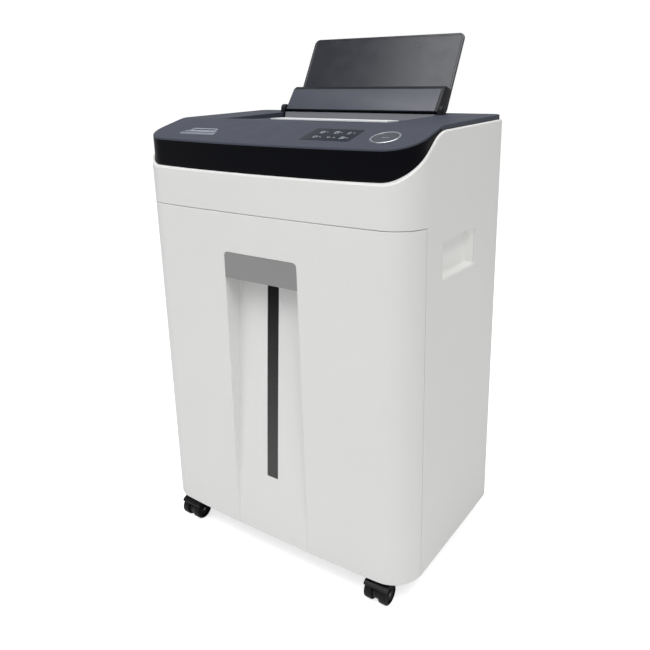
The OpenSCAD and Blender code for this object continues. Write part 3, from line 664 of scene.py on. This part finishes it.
def bin_rows(base):
    """Grid of the bin's front at an inset; the channel is a step in depth."""
    top = CHANNEL_Z + base
    rows = [("z", BIN_BASE + t * MM) for t in (0, 0.1, 0.4, 0.9, 1.5)]
    rows += [("z", z) for z in steps(BIN_BASE + 6 * MM, CHANNEL_Z - 8 * MM, 12 * MM)]
    rows += [("z", top - t * MM) for t in (5.0, 4.0, 3.0, 2.1, 1.3, 0.6)]
    rows += [("ledge", f) for f in (0.0, 0.35, 0.7, 1.0)]
    rows += [("lip", a) for a in (30, 60, 90)]
    rows += [("z", z) for z in (424 * MM, 440 * MM, 455 * MM)]
    rows += [("z", BIN_TOP - t * MM) for t in (0.8, 0.35, 0.1, 0.0)]
    angles = front_angles(part_end, part_angles, 24)
    tangent = (BOW_R - base) * math.sin(TURN)
    out = []
    for kind, v in rows:
        if kind == "z":
            z, limit = v, (None if v < top else 0.0)
        elif kind == "ledge":
            z, limit = top - 0.3 * MM * (1 - v), ("share", 1 - v)
        else:
            a = math.radians(v)
            z = top + CHANNEL_EDGE * (1 - math.cos(a))
            limit = CHANNEL_EDGE * (1 - math.sin(a))
        floor = channel_at(min(z, CHANNEL_Z)) + base
        half = channel_half(min(z, top - 0.05 * MM), base)
        deep = max(0.0, floor - bow_point(half, base).y)
        edge = min(CHANNEL_EDGE, 0.45 * deep)
        if isinstance(limit, tuple):
            limit = edge + (deep - edge) * limit[1]
        foot = min(1.5 * MM, 0.3 * deep)
        cols = [((half - DRAFT - foot) * f, deep) for f in (0, 0.15, 0.3, 0.45, 0.6, 0.75, 0.88, 1.0)]
        cols += [(half - DRAFT - foot * 0.3, deep - foot * 0.25), (half - DRAFT, deep - foot)]
        cols += [(half - DRAFT * 0.5, (deep - foot + edge) / 2), (half, edge)]
        cols += [(half + edge * (1 - math.cos(math.radians(a))), edge * (1 - math.sin(math.radians(a))))
                 for a in (20, 45, 70)]
        cols += [(half + edge, 0.0)]
        start = half + edge
        cols += [(start + (tangent - start) * f, 0.0) for f in (0.03, 0.1, 0.2, 0.35, 0.5, 0.65, 0.8, 0.92)]
        drop = edge_drop(z - BIN_BASE, BOTTOM_R) + edge_drop(BIN_TOP - z, BIN_EDGE)
        drop = -0.75 * drop if base else drop
        half_row = []
        for x, d in cols:
            d = d if limit is None else min(d, limit)
            flat = floor if d >= deep - 1e-9 and deep > 0 else bow_point(x, base).y + d
            half_row.append(Vector((x, FRONT_Y + flat + drop, z)))
        for a in angles:
            end = edge_drop((part_end - a) * CORNER_R, BIN_EDGE)
            p = corner_point(a, base + drop + (-0.75 * end if base else end))
            half_row.append(lift(p, z))
        out.append([Vector((-p.x, p.y, p.z)) for p in reversed(half_row[1:])] + half_row)
    return out


bin_panel = make_object("bin_panel", *double_skin(bin_rows(0.0), bin_rows(WALL), False), "bin", "white_shell",
                        MAT["white_shell"], 40)
WIN_LO, WIN_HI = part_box("bin_window")
win_w, win_h = WIN_HI.x - WIN_LO.x + 0.2 * MM, WIN_HI.z - WIN_LO.z + 0.4 * MM
win_at = Matrix.Translation((0, FRONT_Y, (WIN_HI.z + WIN_LO.z) / 2)) @ Matrix.Rotation(math.pi / 2, 4, "X")
cut(bin_panel, moved(rect_loft(win_w, win_h, 1.6 * MM, [(0, -40 * MM), (0, 5 * MM)]), win_at))
weighted(bin_panel)
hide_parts("bin_front")

cap_front = [bow_point(x * MM, 2.6 * MM) for x in range(-158, 159, 4)]
cap_side = [corner_point(a, 2.6 * MM) for a in (0.2, 0.5, 0.8, 1.1)]
cap_loop = [Vector((-p.x, p.y)) for p in reversed(cap_side)] + cap_front + cap_side
cap_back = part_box("bin_tub")[0].y - FRONT_Y
cap_loop += [Vector((cap_side[-1].x, cap_back)), Vector((-cap_side[-1].x, cap_back))]
cap_shape = loft([[lift(p, BIN_TOP - t * MM) for p in cap_loop] for t in (3, 0.5)])
make_object("bin_top", *cap_shape, "bin", "white_shell", MAT["white_shell"])

# ---------------------------------------------------------------- top cover
TILT = math.atan(DECK_RISE)
DECK_EDGE = 1.2 * MM
DECK_T = 1.6 * MM                         # visible thickness of the control surface's edge


def on_deck(x, y):
    """Point of the sloping control surface: x across, y up the slope."""
    return Vector((x, FRONT_Y + y * math.cos(TILT), DECK_Z + y * math.sin(TILT)))


DECK_FRAME = Matrix.Translation((0, FRONT_Y, DECK_Z)) @ Matrix.Rotation(TILT, 4, "X")
BUTTON_LO, BUTTON_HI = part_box("button_ring")
BUTTON_X = (BUTTON_LO.x + BUTTON_HI.x) / 2
RING_R = (BUTTON_HI.x - BUTTON_LO.x) / 2
RING_IN = RING_R - 2.6 * MM
BUTTON_Y = 40.5 * MM
SLOT = (-112 * MM, 112 * MM, 163 * MM, 188.5 * MM)
SLOPE_END = 135 * MM


def recess_floor(s):
    """Height of the tray recess at depth s: a slope, then the level floor."""
    f = min(1.0, max(0.0, (s - CREASE) / (SLOPE_END - CREASE)))
    return CREASE_Z + (RECESS_Z - CREASE_Z) * f


def cover_mesh():
    """Cover as a terrain over the cabinet's outline: rounded rim, tray recess, slot and button hole."""
    points, loops, heights, keys = [], [], [], {}

    def add(x, s, z):
        key = (round(x, 6), round(s, 6))
        if key not in keys:
            keys[key] = len(points)
            points.append(Vector((x, s)))
            heights.append(z)
        return keys[key]

    def ring(pts, height):
        ids = [add(p.x, p.y, height(p)) for p in pts]
        loops.append([(a, b) for a, b in zip(ids, ids[1:] + ids[:1]) if a != b])

    cols = front_angles(math.pi / 2, [], 18)
    side = steps(CORNER_S + 2 * MM, CREASE - BAND_GAP, 4 * MM) + [CREASE - BAND_GAP + 0.1 * MM]
    side += steps(CREASE, 96 * MM, 4 * MM) + steps(106 * MM, 225 * MM, 17 * MM)
    border = both_sides(shell_half(COVER_IN, cols, side))
    for d in (0.0, 0.07 * MM, 0.27 * MM, 0.65 * MM, DECK_EDGE, 4 * MM):
        pts = both_sides(shell_half(COVER_IN + d, cols, side))
        ring(pts, lambda p, d=d: deck_at(p.y) - edge_drop(d, DECK_EDGE))
    back = RECESS_END

    def recess_ring(grow):
        x, end, r = RECESS_HALF + grow, back + grow, 2 * MM + max(grow, 0)
        front = CREASE - max(grow, 0)
        depths = (front, CREASE + 8 * MM, CREASE + 20 * MM, SLOPE_END, 160 * MM, 200 * MM)
        pts = [Vector((x, s)) for s in depths]
        pts += [Vector((x - r + r * math.cos(a), end - r + r * math.sin(a)))
                for a in (0, math.pi / 8, math.pi / 4, 3 * math.pi / 8, math.pi / 2)]
        pts += [Vector((k * MM, end)) for k in (80, 40, 0)]
        return pts + [Vector((-p.x, p.y)) for p in reversed(pts[:-1])]

    ring(recess_ring(0.7 * MM), lambda p: deck_at(p.y))
    ring(recess_ring(0.25 * MM), lambda p: max(min(deck_at(p.y), recess_floor(p.y)), deck_at(p.y) - 0.2 * MM))
    ring(recess_ring(0.0), lambda p: max(min(deck_at(p.y), recess_floor(p.y)), deck_at(p.y) - 0.8 * MM))
    ring(recess_ring(-0.35 * MM), lambda p: min(deck_at(p.y), recess_floor(p.y)))
    x0, x1, s0, s1 = SLOT
    ring([Vector(p) for p in ((x0, s0), (0, s0), (x1, s0), (x1, s1), (0, s1), (x0, s1))], lambda p: RECESS_Z)
    for r, dz in ((RING_IN, -0.1 * MM), (RING_R + 0.5 * MM, 0.0)):
        turns = [2 * math.pi * i / 48 for i in range(48)]
        disc = [on_deck(BUTTON_X + r * math.cos(a), BUTTON_Y + r * math.sin(a)) for a in turns]
        ring([Vector((p.x, p.y - FRONT_Y)) for p in disc], lambda p, dz=dz: deck_at(p.y) + dz)

    def in_recess(x, s):
        return abs(x) < RECESS_HALF - 0.3 * MM and CREASE < s < back - 0.3 * MM

    rows = [8, 20, 35, 50, 60, 66, 70, 73, 76, 82, 86, 90, 96, 110, SLOPE_END / MM, 150, 175, 200, 235]
    for s in rows:
        for k in range(-11, 12):
            x, sv = k * 17.5 * MM, s * MM
            near_edge = abs(x) > HALF_W - 11 * MM or sv > DEPTH - 10 * MM
            if sv < CORNER_S and abs(x) > HALF_W - CORNER_R:
                near_edge = math.hypot(abs(x) - (HALF_W - CORNER_R), CORNER_S - sv) > CORNER_R - 9.4 * MM
            near_wall = abs(abs(x) - RECESS_HALF) < 2 * MM and sv > CREASE - 4 * MM
            near_back = abs(sv - back) < 2 * MM
            in_slot = x0 - MM < x < x1 + MM and s0 - MM < sv < s1 + MM
            near_button = math.hypot(x - BUTTON_X, sv - BUTTON_Y * math.cos(TILT)) < RING_R + 2 * MM
            if near_edge or near_wall or near_back or in_slot or near_button:
                continue
            add(x, sv, min(deck_at(sv), recess_floor(sv)) if in_recess(x, sv) else deck_at(sv))
    edges = [e for loop in loops for e in loop]
    out = delaunay_2d_cdt(points, edges, [], 0, 1e-7)
    verts2, tris, origins = out[0], out[2], out[3]
    zs = [heights[o[0]] if o else min(deck_at(v.y), recess_floor(v.y)) for v, o in zip(verts2, origins)]

    def inside(c):
        hit = False
        for a, b in zip(border, border[1:] + border[:1]):
            if (a.y > c.y) != (b.y > c.y) and c.x < a.x + (b.x - a.x) * (c.y - a.y) / (b.y - a.y):
                hit = not hit
        return hit

    keep = []
    for t in tris:
        c = sum((verts2[i] for i in t), Vector((0, 0))) / len(t)
        if not inside(c) or (x0 < c.x < x1 and s0 < c.y < s1):
            continue
        if math.hypot(c.x - BUTTON_X, (c.y - BUTTON_Y * math.cos(TILT)) / math.cos(TILT)) < RING_IN:
            continue
        keep.append(list(t))
    # underside and the walls around the border and the holes
    n = len(verts2)
    verts = [lift(v, z) for v, z in zip(verts2, zs)]
    low = []
    for v, z in zip(verts2, zs):
        at_edge = any(abs(v.x - p.x) < 1e-7 and abs(v.y - p.y) < 1e-7 for p in border)
        bottom = z - DECK_T
        if at_edge:
            over_band = v.y < CREASE - BAND_GAP + 0.05 * MM
            bottom = deck_at(v.y) - DECK_T if over_band else rim_at(v.y) - BAND_BELOW_RIM
        low.append(lift(v, bottom))
    verts += low
    faces = list(keep)
    used = set()
    for t in keep:
        for a, b in zip(t, t[1:] + t[:1]):
            used.add((a, b))
    faces += [[i + n for i in reversed(t)] for t in keep]
    faces += [[b, a, a + n, b + n] for a, b in used if (b, a) not in used]
    return verts, faces


EAR_X, EAR_R, EAR_FOOT, EAR_DROP = 127.7 * MM, 6 * MM, 7.5 * MM, 12.5 * MM
ear_mid = Vector((HINGE.y, HINGE.z))
ear_profile = [ear_mid + Vector((EAR_FOOT, -EAR_DROP))]
ear_profile += [ear_mid + EAR_R * Vector((math.cos(math.pi * i / 16), math.sin(math.pi * i / 16)))
                for i in range(17)]
ear_profile += [ear_mid + Vector((-EAR_FOOT, -EAR_DROP))]
EAR_END = [(3.5 * MM, 0.7 * MM), (3.2 * MM, 0.2 * MM), (2.8 * MM, 0.0)]
ears = [across(ear_profile, ear_mid, EAR_END, side * EAR_X) for side in (-1, 1)]
cover = make_object("top_shell", *cover_mesh(), "cabinet", "deck_plastic", MAT["deck_plastic"], 38)
weighted(cover)
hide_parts("top_cover")
make_object("hinge_blocks", *joined(*ears), "cabinet", "deck_plastic", MAT["tray_edge"], 38)


# gloss strip round the front, under the edge of the control surface
def band_rows(base, inner):
    """Grid of the strip at an inset, rows from its lower to its upper edge."""
    cols = front_angles(math.pi / 2, [], 22)
    side = steps(CORNER_S + 2 * MM, CREASE - BAND_GAP, 2.5 * MM)
    out = []
    for k in range(15):
        row = []
        for a, b in zip(front_half(base, cols, side), front_half(base + MM, cols, side)):
            low = rim_at(a.y) - BAND_BELOW_RIM
            high = max(deck_at(a.y) - DECK_T - 0.1 * MM, low + 3 * MM)
            span = high - low
            zs = [low + t * MM for t in (0, 0.1, 0.4, 0.9)]
            zs += [low + span * f for f in (0.15, 0.3, 0.45, 0.6, 0.75, 0.88)]
            zs += [high - t for t in (1.2 * MM, 0.7 * MM, 0.3 * MM, 0.08 * MM, 0.0)]
            z = sorted(min(max(v, low), high) for v in zs)[k]
            drop = max(edge_drop(z - low, 0.9 * MM), edge_drop(high - z, 1.2 * MM))
            drop = min(drop, 1.2 * MM)
            drop = -0.7 * drop if inner else drop
            p = a + (b - a) * (drop / MM)
            row.append(lift(p, z))
        out.append([Vector((-p.x, p.y, p.z)) for p in reversed(row[1:])] + row)
    return out


band_skin = double_skin(band_rows(COVER_IN, False), band_rows(COVER_IN + BAND_WALL, True), False)
band = make_object("gloss_band", *band_skin, "cabinet", "band_gloss", MAT["band_gloss"], 50)
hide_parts("front_band")

# ---------------------------------------------------------------- controls
DISPLAY_W, DISPLAY_H = 66 * MM, 36 * MM
DISPLAY_X = (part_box("display_window")[0].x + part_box("display_window")[1].x) / 2
DISPLAY_Y = 41 * MM
display_at = DECK_FRAME @ Matrix.Translation((DISPLAY_X, DISPLAY_Y, -0.9 * MM))
display_shape = moved(soft_block(DISPLAY_W, DISPLAY_H, 1.05 * MM, 2.5 * MM, 0.25 * MM), display_at)
display = make_object("display_glass", *display_shape, "cabinet", "display_glass", MAT["display_glass"])
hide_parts("display_window")

button_at = DECK_FRAME @ Matrix.Translation((BUTTON_X, BUTTON_Y, 0))
ring_profile = [(RING_IN, -1 * MM), (RING_R, -1 * MM), (RING_R, 0.2 * MM), (RING_R - 0.3 * MM, 0.42 * MM),
                (RING_R - 0.9 * MM, 0.5 * MM), (RING_IN + 0.8 * MM, 0.45 * MM),
                (RING_IN + 0.2 * MM, 0.25 * MM), (RING_IN, -0.1 * MM)]
ring = make_object("button_bezel", *moved(ring_lathe(ring_profile, 96), button_at), "cabinet", "ring_metal",
                   MAT["ring_metal"], 40)
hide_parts("button_ring")
cap_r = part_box("button_cap")[1].x - BUTTON_X
cap_profile = [(0.4 * cap_r, -2.9 * MM), (cap_r, -2.9 * MM), (cap_r, -0.45 * MM),
               (cap_r - 0.15 * MM, -0.2 * MM), (cap_r - 0.5 * MM, -0.03 * MM), (cap_r - 1.2 * MM, -0.02 * MM),
               (cap_r - 4 * MM, -0.25 * MM), (cap_r - 8 * MM, -0.42 * MM), (0.1 * MM, -0.5 * MM)]
button = make_object("button_top", *moved(lathe(cap_profile, 96), button_at), "button", "button_plastic",
                     MAT["button_plastic"], 40)
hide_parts("button_cap")


def bar(x0, y0, x1, y1, width, height=0.14 * MM):
    """Raised printed stroke between two points of a flat surface."""
    a, b = Vector((x0, y0)), Vector((x1, y1))
    along = (b - a).normalized()
    square = Vector((-along.y, along.x))
    n = 5
    loop = []
    for centre, start in ((b, -90), (a, 90)):
        for i in range(n + 1):
            t = math.radians(start + 180 * i / n)
            loop.append(centre + (along * math.cos(t) + square * math.sin(t)) * (width / 2))
    return loft([[Vector((p.x, p.y, 0)) for p in loop], [Vector((p.x, p.y, height)) for p in loop]])


def arc_bar(cx, cy, r, a0, a1, width):
    """Arc of fourteen short strokes, angles in degrees."""
    turns = [math.radians(a0 + (a1 - a0) * i / 14) for i in range(15)]
    pts = [(cx + r * math.cos(a), cy + r * math.sin(a)) for a in turns]
    return [bar(*p, *q, width) for p, q in zip(pts, pts[1:])]


def outline_bars(pts, width):
    """Strokes along a closed outline."""
    return [bar(*p, *q, width) for p, q in zip(pts, pts[1:] + pts[:1])]


STROKE = 0.55 * MM
ICON_K = 1.35 * MM


def icon(x, y, loop, arc, strokes):
    """Sign at (x, y) from a closed loop, an arc (height, radius, angles) and strokes, in units of ICON_K."""
    k = ICON_K
    bars = outline_bars([(x + u * k, y + v * k) for u, v in loop], STROKE) if loop else []
    if arc:
        bars += arc_bar(x, y + arc[0] * k, arc[1] * k, arc[2], arc[3], STROKE)
    return bars + [bar(x + a * k, y + b * k, x + c * k, y + d * k, STROKE) for a, b, c, d in strokes]


# page, bin, heat, power, reverse and door
ICONS = (
    (-17, 7, ((-1.6, -2.1), (1.6, -2.1), (1.6, 1.2), (0.7, 2.1), (-1.6, 2.1)), None,
     [(-0.8, -0.6, 0.8, -0.6)]),
    (2, 7, ((-1.3, -2), (1.3, -2), (1.7, 1.3), (-1.7, 1.3)), None, [(-2.1, 1.9, 2.1, 1.9)]),
    (19, 7, None, (-1.4, 1.1, 130, 410), [(-0.7, -0.5, -0.7, 2.1), (0.7, -0.5, 0.7, 2.1)]),
    (-17, -8, None, (0, 1.9, 120, 420), [(0, 0.4, 0, 2.3)]),
    (2, -8, None, None, [(-2, 0, 2, 0), (-2, 0, -0.8, 1.2), (-2, 0, -0.8, -1.2)]),
    (19, -8, ((-1.9, -1.9), (1.9, -1.9), (1.9, 1.9), (-1.9, 1.9)), None, [(0, -1.9, 0, 1.9)]),
)
icons = []
for x, y, *parts in ICONS:
    icons += icon(x * MM, y * MM, *parts)
    icons.append(bar((x + 5.4) * MM, y * MM, (x + 7.2) * MM, y * MM, 0.8 * MM))
print_at = DECK_FRAME @ Matrix.Translation((DISPLAY_X, DISPLAY_Y, 0.12 * MM))
make_object("display_icons", *moved(joined(*icons), print_at), "cabinet", "display_glass", ICON, 60)

marks = [bar(-3.6 * MM, 0, -1.1 * MM, 0, 0.7 * MM), bar(1.1 * MM, 0, 3.6 * MM, 0, 0.7 * MM)]
mark_at = DECK_FRAME @ Matrix.Translation((BUTTON_X, BUTTON_Y, -0.52 * MM))
make_object("button_marks", *moved(joined(*marks), mark_at), "button", "button_plastic", ICON, 60)

# sheet-into-strips pictogram on the left of the control surface
sign = []
for i in range(11):
    x = (-29 + 5.4 * i) * MM
    sign.append(bar(x, -8 * MM, x, -2.5 * MM, 1.5 * MM))
sign += [bar(-29 * MM, 1.5 * MM, 25 * MM, 1.5 * MM, 1.0 * MM)]
sheet = [(-22 * MM, 4 * MM), (18 * MM, 4 * MM), (18 * MM, 11 * MM), (-22 * MM, 11 * MM)]
sign += outline_bars(sheet, 1.2 * MM)
sign_at = DECK_FRAME @ Matrix.Translation((-113 * MM, 33 * MM, 0.0))
make_object("shred_sign", *moved(joined(*sign), sign_at), "cabinet", "deck_plastic", ICON, 60)

# ---------------------------------------------------------------- tray
TRAY_AT = Matrix.Translation(HINGE) @ Matrix.Rotation(LEAN, 4, "X")
TRAY_W = 247 * MM
BAR_EDGE = 0.8 * MM
TIP_U, TIP_V, PLATE_LEN = 123 * MM, -3 * MM, 113 * MM
PLATE_TILT = math.radians(7.5)           # extra lean of the plate against the bar's front face


def rounded_polygon(pts, radii, n=5):
    """Closed outline with every corner rounded by its own radius."""
    out = []
    for i, r in enumerate(radii):
        out += corner_arc(pts[i - 1], pts[i], pts[(i + 1) % len(pts)], r, n)
    return out


def plate_v(u):
    """Front face of the plate at a distance u from the hinge."""
    return TIP_V - (TIP_U - u) * math.tan(PLATE_TILT)


low_u = TIP_U - PLATE_LEN * math.cos(PLATE_TILT)
section = [Vector((u * MM, v * MM)) for u, v in ((-3.5, 2.4), (31.6, 2.4), (37.5, -0.8))]
section += [Vector((41 * MM, plate_v(41 * MM))), Vector((low_u, plate_v(low_u))),
            Vector((-4.2 * MM, -3.5 * MM))]
bar_section = rounded_polygon(section, [v * MM for v in (1.8, 1.0, 1.0, 0.8, 0.5, 1.5)])
bar_mid = sum(bar_section, Vector((0, 0))) / len(bar_section)
BAR_END = [(TRAY_W / 2 - f * BAR_EDGE, g * BAR_EDGE) for f, g in ((0, 1), (0.3, 0.3), (1, 0))]
tray_bar = make_object("tray_front_bar", *moved(across(bar_section, bar_mid, BAR_END), TRAY_AT), "tray",
                       "tray_dark", MAT["tray_edge"], 40)
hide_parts("tray_bar")
face_at = TRAY_AT @ Matrix.Translation((-1.5 * MM, 14 * MM, 2.1 * MM))
face_shape = moved(soft_block(TRAY_W - 5 * MM, 33.5 * MM, 1.1 * MM, 1.2 * MM, 0.4 * MM), face_at)
make_object("tray_bar_face", *face_shape, "tray", "tray_dark", MAT["tray_face"])

half_w = TRAY_W / 2
plate_outline = [Vector(p) for p in ((half_w, 0), (half_w, -PLATE_LEN), (-half_w, -PLATE_LEN), (-half_w, 0))]


def plate_loop(inset, z):
    """Outline of the plate, drawn in by an inset, at height z."""
    pts = [Vector((p.x - math.copysign(inset, p.x), p.y + (inset if p.y < -MM else -inset)))
           for p in plate_outline]
    radii = [max(r - inset, 0.8 * MM) for r in (8 * MM, 2 * MM, 2 * MM, 8 * MM)]
    return [Vector((p.x, p.y, z)) for p in rounded_polygon(pts, radii, 8)]


# back face, rounded edge, raised border and the slightly lower field of the front face
plate_levels = [(0.9, -3.5), (0.3, -3.25), (0.0, -2.6), (0.0, -0.8), (0.2, -0.25), (0.7, 0.0),
                (2.6, 0.0), (2.9, -0.1), (3.1, -0.35), (3.5, -0.45)]
plate_at = TRAY_AT @ Matrix.Translation((0, TIP_U, TIP_V)) @ Matrix.Rotation(PLATE_TILT, 4, "X")
plate_shape = loft([plate_loop(d * MM, z * MM) for d, z in plate_levels])
tray_plate = make_object("tray_back_plate", *moved(plate_shape, plate_at), "tray", "tray_dark",
                         MAT["tray_dark"])
weighted(tray_plate)
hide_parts("tray_plate")

# ---------------------------------------------------------------- casters
for tag in ("fl", "fr", "rl", "rr"):
    hood = frame["nodes"]["caster_hood_" + tag]
    add_bevel(hood, 0.7 * MM, 3, 40)
    for key in "ab":
        name = "caster_wheel_%s_%s" % (tag, key)
        lo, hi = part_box(name)
        r, half = (hi.z - lo.z) / 2 / MM, (hi.x - lo.x) / 2 / MM
        outward = 1 if key == "b" else -1
        profile = [(2.6, -half), (r - 1.4, -half), (r - 0.4, 0.4 - half), (r, 1.3 - half), (r, half - 1.3),
                   (r - 0.4, half - 0.4), (r - 1.4, half), (r - 2.6, half), (r - 3.0, half - 0.5),
                   (r - 3.2, half - 1.4), (6.5, half - 1.6), (6.1, half - 1.2), (5.8, half - 0.3),
                   (5.2, half), (2.6, half)]
        turn = Matrix.Rotation(math.pi / 2 * outward, 4, "Y")
        place = Matrix.Translation((lo + hi) / 2) @ turn
        wheel = make_object("wheel_%s_%s" % (tag, key),
                            *moved(ring_lathe([(a * MM, b * MM) for a, b in profile], 64), place),
                            "wheel_%s_%s" % (tag, key), "wheel_black", MAT["wheel_black"], 45)
        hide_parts(name)


# ---------------------------------------------------------------- floor, light, camera
def plane(name, size, at_point, material):
    """Square of the studio, which is not part of the object."""
    mesh = bpy.data.meshes.new(name)
    k = size / 2
    mesh.from_pydata([(-k, -k, 0), (k, -k, 0), (k, k, 0), (-k, k, 0)], [], [(0, 1, 2, 3)])
    mesh.materials.append(material)
    ob = bpy.data.objects.new(name, mesh)
    bpy.context.scene.collection.objects.link(ob)
    ob.location = at_point
    return ob


floor_mat, nodes, links, bsdf, coords = new_material("floor")
links.new(tint(nodes, links, noise(nodes, links, coords, 3, 2), (0.88, 0.88, 0.88), (0.9, 0.9, 0.9)),
          bsdf.inputs["Base Color"])
bsdf.inputs["Roughness"].default_value = 0.9
bsdf.inputs["Specular IOR Level"].default_value = 0.1
bsdf.inputs["Emission Color"].default_value = (1, 1, 1, 1)
glow = nodes.new("ShaderNodeMath")
glow.operation = "MULTIPLY"
glow.inputs[1].default_value = 0.72
links.new(nodes.new("ShaderNodeLightPath").outputs["Is Camera Ray"], glow.inputs[0])
links.new(glow.outputs["Value"], bsdf.inputs["Emission Strength"])
floor = plane("floor", 40.0, (0, 0, 0), floor_mat)

world = bpy.data.worlds.new("studio")
bpy.context.scene.world = world
world.use_nodes = True
wn, wl = world.node_tree.nodes, world.node_tree.links
wn.clear()
w_out, w_mix = wn.new("ShaderNodeOutputWorld"), wn.new("ShaderNodeMixShader")
wl.new(wn.new("ShaderNodeLightPath").outputs["Is Camera Ray"], w_mix.inputs["Fac"])
# what lights the part, then what the camera sees
for slot, color, strength in ((1, (0.99, 0.995, 1, 1), 0.37), (2, (1, 1, 1, 1), 1.0)):
    back = wn.new("ShaderNodeBackground")
    back.inputs["Color"].default_value = color
    back.inputs["Strength"].default_value = strength
    wl.new(back.outputs["Background"], w_mix.inputs[slot])
wl.new(w_mix.outputs["Shader"], w_out.inputs["Surface"])


def area(name, size, watts, at_point, target, color=(1, 1, 1)):
    """Square light aimed at a point."""
    light = bpy.data.lights.new(name, "AREA")
    light.shape = "SQUARE"
    light.size = size
    light.energy = watts
    light.color = color
    ob = bpy.data.objects.new(name, light)
    bpy.context.scene.collection.objects.link(ob)
    ob.location = at_point
    ob.rotation_euler = (Vector(target) - Vector(at_point)).to_track_quat("-Z", "Y").to_euler()
    return ob


area("key", 1.4, 28, (-0.6, -1.35, 2.5), (0, 0, 0.4))
area("top", 1.2, 14, (0.15, 0.05, 2.3), (0.05, 0.0, 0.5))
area("fill", 1.0, 27, (1.7, -1.0, 2.8), (0, 0, 0.35), (1, 0.985, 0.95))

scene = bpy.context.scene
scene.view_settings.view_transform = "Standard"
scene.view_settings.look = "None"
scene.view_settings.exposure = 0.0
scene.view_settings.gamma = 1.0

FRAME_PX, FOCAL_PX = 650, 646.6
SENSOR_W = 36
PITCH, YAW = 0.2671, 0.5558
cam = bpy.data.cameras.new("camera")
cam.sensor_fit = "HORIZONTAL"
cam.sensor_width = SENSOR_W
cam.lens = SENSOR_W * FOCAL_PX / FRAME_PX
cam.shift_x = -0.0871
cam.shift_y = -0.0862
cam.clip_start = 0.05
cam.clip_end = 100
camera = bpy.data.objects.new("camera", cam)
scene.collection.objects.link(camera)
camera.location = (0.5075, -0.6878, 0.5999)
camera.rotation_euler = (math.pi / 2 - PITCH, 0, YAW)
scene.camera = camera
